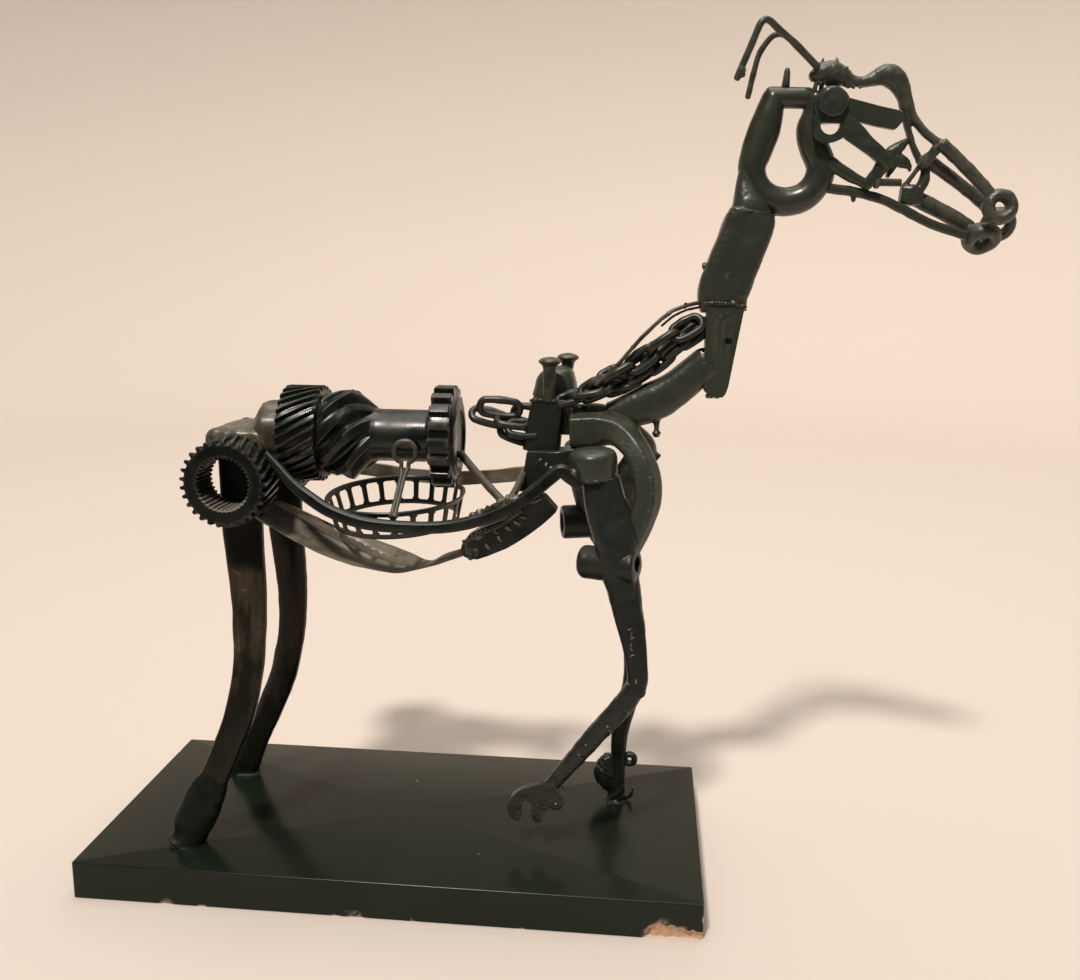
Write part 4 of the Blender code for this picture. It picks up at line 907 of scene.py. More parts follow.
class HorseSizes(PropertyGroup):
    """Sizes of the repeated parts."""
    hip_teeth: IntProperty(name="Hip teeth", description="Teeth of each hip gear", default=29)
    hip_splines: IntProperty(name="Hip splines", description="Splines in its bore", default=37)
    fine_teeth: IntProperty(name="Fine teeth", description="Teeth of the rear back gear", default=30)
    coarse_teeth: IntProperty(name="Coarse teeth", description="Teeth of the middle back gear",
                              default=9)
    end_teeth: IntProperty(name="End teeth", description="Teeth of the front back gear", default=18)
    cage_windows: IntProperty(name="Cage windows", description="Windows of the bearing cage",
                              default=22)
    link_long: length("Link length", 24.0, "Length of a chain link")
    link_wide: length("Link width", 15.0, "Width of a chain link")
    link_wire: length("Link wire", 2.3, "Radius of the wire of a chain link")


class HorseStage(PropertyGroup):
    """The lights and the camera."""
    air: colour("Air", (0.84, 0.95, 1.0), "Light from all round")
    air_power: FloatProperty(name="Air power", description="Strength of the light from all round",
                             default=0.19, min=0.0)
    key_power: FloatProperty(name="Sun power", description="Strength of the sun", default=3.0, min=0.0)
    fill_power: FloatProperty(name="Top power", description="Power of the large lamp overhead",
                              default=26.0, min=0.0, unit="POWER")
    lens: FloatProperty(name="Lens", description="Focal length", default=35.58, unit="CAMERA")
    spot: FloatVectorProperty(name="Camera place", description="Where the camera stands",
                              default=(0.1537, -0.6780, 0.3988), size=3, subtype="TRANSLATION")
    aim: FloatVectorProperty(name="Camera aim", description="Yaw, pitch and roll of the camera",
                             default=tuple(map(math.radians, (-5.493, -11.694, 0.708))), size=3,
                             subtype="EULER")


def lamp(name, spot, aim, size, power, tint):
    """A square area lamp at a place, turned to look at a point; with no size, a sun whose
    disc is six degrees wide."""
    light = bpy.data.lights.new(name, "AREA" if size else "SUN")
    if size:
        light.shape, light.size = "SQUARE", size
    else:
        light.angle = math.radians(6)
    light.energy, light.color = power, tint
    piece = bpy.data.objects.new(name, light)
    piece.location = spot
    piece.rotation_euler = (Vector(aim) - Vector(spot)).to_track_quat("-Z", "Y").to_euler()
    bpy.context.scene.collection.objects.link(piece)


def make_stage(stage):
    """Pale card that sweeps up behind and less in front, a broad sun, a soft lamp overhead and
    the camera of the photograph."""
    rings, sides = 40, 96
    t = np.linspace(0, 1, rings)
    bend = np.radians(90 * np.clip((t - CARD_SHARE) / CARD_SHARE, 0, 1))
    flat = np.interp(t, (0, CARD_SHARE), (0.02, 1)) * CARD_FLAT
    radius = np.where(t <= CARD_SHARE, flat, CARD_FLAT + CARD_BEND * np.sin(bend))
    height = np.where(t <= CARD_SHARE, 0.0, CARD_BEND * (1 - np.cos(bend)))
    height = height + np.clip(t - 2 * CARD_SHARE, 0, 1) * CARD_RISE
    a = 2 * np.pi * np.arange(sides) / sides
    tall = 0.16 + 0.84 * np.clip(0.75 + np.sin(a), 0, 1)
    grid = np.stack([radius[:, None] * np.cos(a), radius[:, None] * np.sin(a), height[:, None] * tall],
                    -1)
    index = np.arange(rings * sides).reshape(rings, sides)
    quads = np.stack([index[:-1], np.roll(index[:-1], -1, 1), np.roll(index[1:], -1, 1), index[1:]],
                     -1).reshape(-1, 4)
    card = new_object("card", mesh_of("card", Body(grid.reshape(-1, 3), [quads, [list(range(sides))]])))
    card.data.materials.append(material("sweep_card"))
    card.data.shade_smooth()
    scene = bpy.context.scene
    world = bpy.data.worlds.new("air")
    world.use_nodes = True
    air = world.node_tree.nodes["Background"].inputs
    air["Color"].default_value = (*stage.air, 1.0)
    air["Strength"].default_value = stage.air_power
    scene.world = world
    lamp("sun", (-0.28, -1.05, 1.85), (0.05, 0, 0.25), 0, stage.key_power, (1.0, 0.93, 0.84))
    lamp("overhead", (0.1, 0.2, 2.4), (0.05, 0, 0.2), 1.5, stage.fill_power, (1.0, 0.95, 0.88))
    camera = bpy.data.cameras.new("camera")
    camera.lens, camera.sensor_width, camera.sensor_fit = stage.lens, 36.0, "HORIZONTAL"
    camera.clip_start, camera.clip_end = 0.02, 40.0
    yaw, pitch, roll = stage.aim
    ahead = Vector((math.sin(yaw) * math.cos(pitch), math.cos(yaw) * math.cos(pitch),
                    math.sin(pitch)))
    level = Vector((math.cos(yaw), -math.sin(yaw), 0.0))
    upright = level.cross(ahead)
    right = math.cos(roll) * level + math.sin(roll) * upright
    up = math.cos(roll) * upright - math.sin(roll) * level
    view = Matrix((right, up, -ahead)).transposed().to_4x4()
    view.translation = stage.spot
    eye = bpy.data.objects.new("camera", camera)
    eye.matrix_world = view
    scene.collection.objects.link(eye)
    scene.camera = eye
    scene.view_settings.view_transform = "Standard"
    scene.view_settings.look = "None"


def make_board():
    """Painted board: its edges are quarter circles, its broken lower corner is cut along a line
    that smooth noise makes ragged, and its chips are lumpy balls taken away."""
    (x, y), z = BOARD_HALF, BOARD_TOP
    corner_r, edge_r = 1.6, 0.9
    outline = soften(((-x, -y), (x, -y), (x, y), (-x, y)), corner_r, steps=6)
    fine = []
    for a, b in zip(outline, np.roll(outline, -1, 0)):
        steps = max(1, int(np.linalg.norm(b - a) / 6))
        fine.append(a + (b - a) * np.arange(steps)[:, None] / steps)
    ring_xy = np.vstack(fine)
    turn = np.radians(np.array([0, 22.5, 45, 67.5, 90]))
    wall = np.linspace(edge_r, z - edge_r, 6)[1:-1]
    level = np.concatenate([edge_r * (1 - np.cos(turn)), wall, z - edge_r * (1 - np.cos(turn[::-1]))])
    inset = np.concatenate([edge_r * (1 - np.sin(turn)), 0 * wall, edge_r * (1 - np.sin(turn[::-1]))])
    share = 1 - inset[:, None, None] / np.array([x, y])
    grid = np.concatenate([ring_xy[None] * share, np.repeat(level[:, None, None], len(ring_xy), 1)], -1)
    s = np.linspace(0, 1, 60)
    along = x - BREAK_FROM + BREAK_LONG * s
    ragged = np.interp(s, (0, 0.06, 0.13, 0.3, 0.5, 0.7, 0.9, 1), (0.5, 6, 10.2, 10.4, 9.2, 8, 7.4, 7))
    ragged = ragged + 0.5 * waves(np.stack([along, 0 * s, 0 * s], 1), 3.5, 5)
    deep = 3.4 + 0.6 * waves(np.stack([along, 0 * s + 9, 0 * s], 1), 5, 6)
    section = np.stack([
        np.stack([along, 0 * s - y - 3, 0 * s - 3], 1),
        np.stack([along, 0 * s - y - 3, ragged], 1),
        np.stack([along, 0 * s - y + 0.6, ragged - 0.3], 1),
        np.stack([along, deep - y, 0.45 * ragged], 1),
        np.stack([along, deep - y + 0.4, 0 * s - 3], 1)], 1)
    cuts = [skin(section)]
    chips = ((-138, 1.6, 4.2), (-115.5, 1.2, 3.6), (-28, 1.1, 3), (-15, 1.5, 6),
             (22, 0.9, 2.6), (88, 1, 3.4))
    for i, (spot, deep, wide) in enumerate(chips):
        cuts.append(blob((spot, -y, 0), (wide, deep, deep * 1.2), 20 + i, 0.18))
    cuts.append(blob((x, -y + 0.4, 15), (0.9, 0.9, 2.4), 31, 0.2))
    cuts.append(blob((x, -y + 40, 0), (1.4, 5, 1.6), 32, 0.2))
    cuts.append(blob((-x, y - 22, BOARD_TOP), (1, 3, 1), 33, 0.2))
    place("plinth_fine", [skin(grid)], "board_paint", cuts=cuts, cut_finish="bare_wood", crisp=30)


def make_hips(sizes):
    """Ring gear on each hip, with splines in its bore, and the curved plate between them."""
    x, z = HIP
    for name, y0 in HIP_GEARS.items():
        ends = [(y, HIP_ROOT, HIP_TIP) for y in (y0, y0 + HIP_WIDE)]
        wheel = gear((x, 0, z), (0, 1, 0), ends, sizes.hip_teeth, 14, 0.13, 0.17, bore=HIP_BORE,
                     splines=sizes.hip_splines, samples=22, chamfer=0.7)
        place(name + FINE, [wheel], "hip_gloss_painted_lit_bore", crisp=34)
    top = spline(((-124.2, 284), (-124, 289.2), (-121.6, 293.4), (-115, 295.4), (-104, 296.2),
                  (-93, 296.6), (-85.4, 296.4), (-81.9, 294.2), (-81.2, 289.6), (-81.8, 283.2)),
                 48)[:, None]
    side = spline(((13.5, -29.2), (7.5, -29.4), (3.4, -29), (0.9, -26.6), (0, -21.5), (-0.4, -1.7),
                   (0, 18.3), (0.9, 23.2), (3.4, 25.6), (7.5, 26), (13.5, 25.8)), 60)[None]
    share = 1 - side[..., :1] / 31
    grid = np.concatenate([x + (top[..., :1] - x) * share, side[..., 1:] + 0 * top[..., :1],
                           z + (top[..., 1:] - z) * share], -1)
    place("rump_plate_fine", [shell(grid, 2.6)], "rump_gloss", edge=0.7,
          lumps=((11, 0.45, 41), (4, 0.14, 42)))


def make_hind_legs():
    """Two broad curved bars, each welded into a small bent hoof on the board."""
    near = sweep(((-102.6, -26.2, 288, 13.6, 4.4), (-102.6, -26.2, 262, 13.6, 4.4),
                  (-102.4, -26.4, 235, 13.3, 4.4), (-101.2, -27.6, 216, 12.8, 4.4),
                  (-98.7, -30.5, 182, 11.4, 4.5), (-97.3, -38, 150, 10.1, 4.8),
                  (-98.4, -44, 130, 9.8, 5), (-102.4, -48.5, 110, 9.4, 5),
                  (-110.6, -52, 88, 9.1, 5), (-118, -55, 70, 9.1, 5)), 90, 32, 3.6)
    far = sweep(((-91.5, 22.6, 287, 12.4, 4.3), (-91.2, 22.6, 255, 12.4, 4.3),
                 (-90.6, 22.8, 222, 12, 4.3), (-89, 26.5, 180, 10.4, 4.5), (-91.5, 30.5, 147, 9.4, 4.8),
                 (-98.5, 33.5, 115, 9.4, 4.8), (-110.5, 37.5, 85, 9.4, 4.8), (-123.5, 40.5, 58, 9, 4.8),
                 (-131.5, 42, 38, 8.8, 4.8)), 90, 32, 3.6)
    place("hind_leg_near_fine", [near], "leg_steel", lumps=((16, 0.12, 51), (3.5, 0.03, 52)))
    place("hind_leg_far_fine", [far], "leg_steel", lumps=((16, 0.12, 53), (3.5, 0.03, 54)))
    base = BOARD_TOP - 0.2
    hoof = sweep(((-114, -53.6, 80, 7.6, 4), (-117.8, -55, 71, 9.4, 5.2),
                  (-121.8, -56.2, 62.4, 11.6, 6.4), (-126.6, -57.4, 51.5, 13, 7.3),
                  (-132.4, -58.5, 38.5, 12.6, 7.2), (-134.4, -59.4, 31, 10.8, 6.8),
                  (-135.8, -59.8, 27.2, 11.2, 7.6), (-137.2, -60, 24.2, 13.4, 9)), 40, 30,
                 2.6, up=(0, 1, 0.2))
    puddle = blob((-137.8, -60.2, 24.8), (13.6, 9, 1.3), 61, 0.05, 30)
    place("hind_hoof_near_fine", [hoof, puddle], "hoof_gloss", fuse=0.6,
          ease=5, lumps=((15, 0.25, 62), (5, 0.05, 63)), floor=base)
    hoof = sweep(((-129.4, 41.6, 43, 8.2, 4.4), (-131.4, 42, 38.6, 9.4, 5.6),
                  (-133.2, 42.4, 34.6, 10.2, 6.4), (-135.2, 43, 31.5, 10.2, 6.4),
                  (-136.4, 43.3, 28, 10.8, 7), (-137, 43.4, 24.2, 11.8, 8)), 30, 30, 2.6,
                 up=(0, 1, 0.2))
    puddle = blob((-136.2, 43.2, 24.8), (12, 8.2, 1.2), 64, 0.06, 30)
    place("hind_hoof_far_fine", [hoof, puddle], "hoof_gloss", fuse=0.6,
          ease=5, lumps=((15, 0.25, 65), (5, 0.05, 66)), floor=base)


def make_spine(sizes):
    """Cluster gear: hub, fine helical gear, broad helical gear with a cone, barrel, end gear."""
    along = (1, 0, 0)
    barrel = turned(((-93.5, 0.5), (-93.5, 12.5), (-90.5, 17.2), (-86.5, 19.6), (-74, 19.6), (-73, 24),
                     (-51, 24), (-49, 22), (-26, 20), (-19, 17.6), (-14, 16.7), (18.5, 16.7),
                     (20, 17.6), (22.6, 17.8), (24, 22), (34, 22)), SPINE, along, 96, 0.8)
    fine = gear(SPINE, along, ((-74.8, 28, 31), (-50.6, 28, 31)), sizes.fine_teeth, 30,
                0.09, 0.2, inner=18, samples=22)
    coarse = gear(SPINE, along, ((-49.8, 22.6, 25.4), (-41, 22.9, 27.8), (-31, 22.9, 29.3),
                                 (-17, 17, 18.8)), sizes.coarse_teeth, 45, 0.14, 0.3,
                  inner=14, chamfer=0.9, samples=48, phase=-0.05)
    end = gear(SPINE, along, ((22.3, 28.4, 32.8), (35.2, 28.4, 32.8)), sizes.end_teeth, 0, 0.2,
               0.09, inner=15, samples=26, chamfer=0.8)
    shoulder = turned(((33.6, 10), (33.6, 28.2), (35.4, 27.4), (35.8, 25.2), (36.4, 25), (37.4, 24.2),
                       (38, 21), (38.2, 17.4), (36.4, 16.6), (36.2, 8)), SPINE, along, 96, 0.5)
    place("cluster_gear_fine", [barrel, fine, coarse, end, shoulder], "gear_enamel", crisp=34)
    scale = turned(((-94.2, 11), (-94, 13.5), (-91.2, 18), (-87, 20.4), (-75.2, 20.4),
                    (-75.2, 18.6), (-87, 18.4), (-91, 11)), SPINE, along, 72, 0.6)
    place("hub_scale", [scale], "rump_gloss", lumps=((9, 0.35, 32), (3, 0.1, 33)))


def make_pin_and_cage(sizes):
    """Split pin: one wire up, round the eye and down again. Cage: a thin cone whose lips turn out
    as an exponential of the height, with windows that are super-ellipses of power 6."""
    t = np.radians(np.linspace(250, -70, 34))
    eye = np.array((5.8, -28.6, 285.2)) + 7 * np.stack([np.cos(t), 0 * t, np.sin(t)], 1)
    legs = np.array(((0, -54.9, 250.2), (0, -53.4, 253.2), (0, -43, 262.6), (0, -32.6, 271.4),
                     (0, -29.6, 275)))
    shift = np.array((1, 0, 0))
    stem = np.array((4.4, 4.4, 4.9, 5.4, 5.7))[:, None] * shift
    spread = np.array((1.1, 1.05, 1.05, 1.15, 2.2))[:, None] * shift
    route = np.vstack([legs + stem - spread, eye, (legs + stem + spread)[::-1]])
    size = np.interp(np.arange(len(route)), (0, 4, 8, len(route) - 9, len(route) - 5, len(route) - 1),
                     (1.3, 1.3, 1.7, 1.7, 1.3, 1.3))
    pin = sweep(np.hstack([route, size[:, None], size[:, None]]), 150, 14, up=(0.02, 1, 0.3))
    foot = blob((4.6, -54.4, 250.4), (3.4, 2, 1.7), 71, 0.16, 20)
    place("eye_pin_fine", [pin, foot], "rusty_rod", lumps=((3, 0.03, 72),))
    windows, steps, bar = sizes.cage_windows, 14, 0.3
    share = (np.arange(windows * steps) / steps) % 1
    level = np.concatenate([(0, 0.4, 1, 2), np.linspace(3, 15.5, 20), (16.4, 17.3, 18, CAGE_HIGH)])
    lip = 0.9 * np.exp((level - CAGE_HIGH) / 0.7) + 0.5 * np.exp(-level / 0.7)
    radius = (CAGE_BOTTOM + CAGE_FLARE * level / CAGE_HIGH + lip)[:, None]
    a = (2 * np.pi * np.arange(windows * steps) / (windows * steps))[None]
    cone = np.stack([radius * np.cos(a), radius * np.sin(a), level[:, None] - CAGE_HIGH + 0 * a], -1)
    across = (share + 0.5 / steps - (1 + bar) / 2) / ((1 - bar) / 2)
    middle = (level[:-1] + level[1:]) / 2
    holes = (np.abs(across)[None] ** 6 + np.abs((middle - CAGE_HIGH / 2) / 6.25)[:, None] ** 6) < 1
    tip = Matrix.Rotation(math.radians(-1.8), 3, "Y") @ Matrix.Rotation(math.radians(4.1), 3, "X")
    cone = cone @ np.array(tip).T + CAGE_PLACE
    place("bearing_cage_fine", [shell(cone, 1.4, wrap=True, holes=holes)], "enamel", edge=0.22, crisp=30)


def make_belly():
    """Bar on the near side with a bevelled top, thin strips, struts and the toothed piece. The
    sheet lies between two curves; one crease rises and one sinks as an exponential of the
    distance to its line, beside a shallow hollow."""
    bevel = ((-1, -0.15), (-0.66, -1), (0.8, -1), (1, -0.7), (1, 0.8), (0.86, 1), (-0.86, 1), (-1, 0.8))
    h, d = 3.6, 2.6
    bar = sweep(((-78, -44.5, 284.6, 1.6, 1.6), (-71.5, -47, 278.4, 2.5, 2),
                 (-60, -51.5, 267.6, 3.2, 2.4), (-48, -54.5, 259.3, h, d), (-33.9, -57, 251.8, h, d),
                 (-13.4, -58.2, 245.9, h, d), (12.7, -58.4, 244.1, h, d), (37, -58.2, 245.3, h, d),
                 (57.5, -57.5, 250.2, 3.8, d), (72.8, -56.5, 256.6, 3.9, d), (84, -55, 263.2, 3.9, 2.8),
                 (94, -52.5, 271.2, 3.9, 3), (101, -51, 277.4, 4.1, 3.2), (105.8, -50.6, 280.4, 4, 3.2),
                 (111, -50.4, 277, 3.9, 3.2), (118, -50.2, 271.8, 3.4, 3)), 150,
                section=soften(bevel, 0.1, steps=3), caps=(0.8, 0.8))
    place("belly_bar_near_fine", [bar], "gear_enamel", lumps=((12, 0.05, 81),), crisp=40)
    scale = sweep(((52, -56.4, 252.6, 0.8, 1.4), (58, -56.6, 254.6, 1.6, 2.2),
                   (65, -56.6, 257.6, 1.9, 2.4), (71, -56.2, 261, 2.6, 2.6),
                   (77, -56, 263.4, 2.8, 2.6), (81, -55.6, 263.6, 1.4, 2)), 60, 20)
    place("belly_bar_scale", [scale], "rump_gloss", lumps=((3, 0.5, 82), (1.6, 0.15, 85)))
    flat = ((-1, -0.7), (-0.93, -1), (0.93, -1), (1, -0.7), (1, 0.7), (0.93, 1), (-0.93, 1), (-1, 0.7))
    w = 4.8
    band = sweep(((-76, 52, 262.4, w, 1), (-33, 46, 259.2, w, 1), (0, 44, 256.2, w, 1),
                  (36, 42, 256.2, w, 1), (73, 38, 261.2, w, 1), (107, 30, 268.2, w, 1)),
                 90, section=flat, caps=(0.3, 0.3))
    place("belly_band_far_fine", [band], "strip_steel", lumps=((18, 0.15, 83),), crisp=30)
    near = spline(((-94, -31, 243), (-82, -33, 236.5), (-63, -37, 228), (-40, -40, 219),
                   (-17, -41, 213.4), (2, -38, 210.6), (16, -36, 212.8), (30.3, -42, 218.4),
                   (48.7, -50, 227.1)), 110)[:, None]
    far = spline(((-84, -2, 247), (-66, -2, 240), (-46, -3, 231), (-26, -4, 224.5), (-6, -6, 217.6),
                  (11.3, -16, 214.7), (21.8, -28, 215.5), (32.2, -36, 222.3), (49.6, -45, 231)),
                 110)[:, None]
    v = np.linspace(0, 1, 34)[None, :, None]
    s = np.linspace(0, 1, 110)[:, None, None]
    wide = np.linalg.norm(far - near, axis=2, keepdims=True)
    crease_a = np.clip(0.62 - 0.5 * s, 0, 1)
    crease_b = np.clip(1.12 - 0.85 * s, 0, 1)
    fold = (0.075 * np.exp(-np.abs(v - crease_a) / 0.1) - 0.045 * np.exp(-((v - 0.2) / 0.16) ** 2)
            - 0.085 * np.exp(-np.abs(v - crease_b) / 0.09))
    grid = near + (far - near) * v
    grid = grid + np.concatenate([0 * fold, -0.35 * fold, fold], 2) * wide - (0, 0, 0.7)
    place("belly_sheet_fine", [shell(grid, 1.2)], "strip_steel", lumps=((16, 0.18, 84),), crisp=60)
    rear = wire(((38, -8.6, 281.6), (47, -21.4, 275.6), (58, -36.4, 268.8), (73.4, -56.4, 259.6)),
                2.6, 30)
    front = wire(((75.6, -56, 262.4), (78.2, -45, 267), (81.6, -22, 275.6)), 2.3, 24)
    place("strut_rear_fine", [rear], "dark_rod", lumps=((7, 0.05, 86),))
    place("strut_front_fine", [front], "dark_rod", lumps=((7, 0.05, 87),))
    make_segment()


def make_segment():
    """Piece of a toothed ring: a plate with a curved lower edge, and on its near face a ribbed
    edge (its width a cosine along the edge), wedges and a faceted nose."""
    lower = spline(((104.2, 256.4), (96.8, 248.9), (85, 239.4), (73.1, 231.8), (63.1, 227.3),
                    (53.6, 223.4)), 120)
    upper = np.array(((47.6, 225.4), (45.4, 229.4), (46, 233.4), (49.6, 238.4), (57, 243.6),
                      (70, 249.2), (81.9, 256.6), (94.6, 265.6), (96.6, 265.2)))
    place("toothed_segment_fine", [plate(soften(np.vstack([lower[::6], upper]), 1.2), -54, -43.5)],
          "gear_enamel", edge=0.8, lumps=((9, 0.1, 90),), crisp=28)
    parts = []
    rim = spline(((47.6, 235), (57.3, 241), (67.3, 245.4), (74.2, 250), (82.1, 256.2)), 60)
    swell = 1 + 0.4 * np.cos(np.linspace(0, 30 * np.pi, 60))
    rows = np.stack([rim[:, 0], 0 * rim[:, 0] - 54.4, rim[:, 1], 1.5 * swell ** 0.5, swell], 1)
    parts.append(sweep(rows, 0, 12, 2.4, caps=(0.8, 0.8)))
    wedges = (((77.6, 249.6), (82, 247), 1), ((72.8, 246), (76.2, 243.4), 1.3),
              ((68.4, 239.4), (70.6, 236.4), 0.9), ((61, 234), (63.8, 231), 1.2),
              ((54.6, 237.2), (60.6, 240.2), 1.2), ((88, 260.6), (94.6, 263.6), 0.9),
              ((81.6, 252.4), (85.4, 251.2), 0.7), ((65.2, 243.2), (68.2, 241.4), 0.8))
    for (x0, z0), (x1, z1), half in wedges:
        rows = ((x0, -54, z0, half, 0.7),
                ((x0 + x1) / 2, -54.9, (z0 + z1) / 2, half * 1.1, 1.1), (x1, -54, z1, 0.6, 0.5))
        parts.append(sweep(rows, 0, 4, 2, caps=(0.2, 0.2)))
    for i, (x, z, r) in enumerate(((50.2, 229.6, 3.4), (54.6, 228.4, 2.8), (51.6, 226, 2.4),
                                   (49, 233.2, 2.2))):
        parts.append(blob((x, -53.6, z), (r, 2.2, r), 95 + i, 0.12, 6))
    place("toothed_segment_teeth", parts, "rump_gloss", crisp=28)


def make_withers():
    """Square socket, domed casting, two round-headed bolts, the post below and a rib."""
    socket = sweep(((90.4, -12, 287.2, 11.6, 11.5), (91.4, -12, 295, 11.3, 11.5),
                    (93.2, -12, 308, 10.8, 11.5), (94.6, -12, 318.2, 10.4, 11.5)), 24, 44, 7,
                   caps=(1, 1))
    place("withers_socket_fine", [socket], "enamel", lumps=((14, 0.1, 101),))
    dome = sweep(((97.4, -1, 318.6, 14.4, 12.5), (98, -0.8, 323, 13.9, 12.4),
                  (98.4, -0.6, 327.6, 13.1, 12), (98.9, -0.4, 331.4, 12, 11.2),
                  (99.2, -0.2, 334.4, 10.4, 9.8), (99.2, 0, 336.6, 8.2, 7.8), (99, 0, 337.9, 5.2, 5),
                  (98.8, 0, 338.5, 1.6, 1.6)), 40, 48, 2.8, caps=(0.3, 0.2))
    place("withers_dome_fine", [dome], "cast_gloss", lumps=((9, 0.16, 103),))
    for name, spot, drop in (("withers_bolt_near", (95.4, -22, 318.8), 0),
                             ("withers_bolt_far", (104.8, 5, 336), 16.6)):
        profile = ((0, 0.3), (0, 3.6), (19.8 - drop, 4), (21.8 - drop, 4.6), (23.8 - drop, 6.8),
                   (24.7 - drop, 7), (26.2 - drop, 5.4), (27.1 - drop, 2.8), (27.4 - drop, 0.3))
        place(name + FINE, [turned(profile, spot, (0.01, 0, 1), 36, 0.8)], "dark_rod",
              lumps=((7, 0.08, 105),))
    outline = soften(((82.5, 288), (102, 288), (113.5, 290.5), (114.2, 279), (104, 279), (97, 275.5),
                      (91, 269), (86, 263), (77.5, 262), (78.5, 268), (81.5, 279)), 2)
    knots = [blob((91.1 + 3.6 * i, -29.2, 281.4 - 2.2 * i), (1.6, 0.9, 1.4), 106 + i, 0.2)
             for i in range(3)]
    place("withers_post_fine", [plate(outline, -29, -7)] + knots, "enamel",
          fuse=0.55, ease=3, lumps=((9, 0.12, 109),))
    rib = plate(soften(((102.6, 297), (108.2, 297), (110.4, 318), (105.6, 318)), 1), -16, -6)
    place("withers_rib_fine", [rib], "enamel", edge=0.6)


FLANGE = soften(((0.82, -1), (-0.42, -1), (-0.5, -0.9), (-1, -0.05), (-1, 0.45), (-0.75, 1),
                 (0.78, 1), (1, 0.7), (1, -0.72)), 0.22, steps=4)


def make_chest():
    """Forked casting of the chest, with a row of shallow cast strokes along its near arm."""
    near = ((110, -14, 302.6, 12.8, 13), (118, -14, 303, 13.4, 13.4), (128, -15, 303.4, 13, 13),
            (138, -20, 301.8, 10.4, 11.4), (146, -28, 296.4, 8.4, 9.2), (152.8, -34.4, 287.4, 8, 8),
            (157.4, -39, 275.6, 8.5, 7), (158.3, -41, 262.6, 8.3, 6.5), (155.2, -43, 249.4, 7.9, 6),
            (150.6, -44, 237.4, 7, 5.6), (146.6, -44.6, 226.4, 5.6, 5.2))
    far = sweep(((134, -6, 303, 8.6, 8), (147, 1, 297, 7, 7), (156.2, 8, 286, 7.2, 6.8),
                 (150.6, 13, 273, 11, 6.6), (144.6, 17, 261, 10.6, 6.4), (145.4, 20.5, 248, 8.6, 6.2),
                 (146, 24.5, 232, 6.4, 5.6), (142, 28, 215, 4.8, 5)), 60, 30, 2.8)
    nub = blob((163.6, 8, 281), (2, 2.6, 2.4), 119, 0.2)
    path = spline(near, 200)[118:176:5]
    strokes = []
    for i, row in enumerate(path):
        lean = np.array(((0.9, 0, 0.5), (0.1, 0, 1.1), (0.8, 0, -0.5))[i % 3])
        spot = row[:3] + (0.22 * row[3], -row[4] - 0.1, 0)
        strokes.append(wire((spot - lean * 1.1, spot + lean * 1.1), 0.5, 4, 6))
    arm = sweep(near, 110, section=FLANGE, caps=(1.6, 1.6))
    place("chest_yoke_fine", [arm, far, nub, *strokes], "cast_gloss", fuse=0.55,
          ease=2, lumps=((14, 0.1, 121), (2.4, 0.025, 122)))


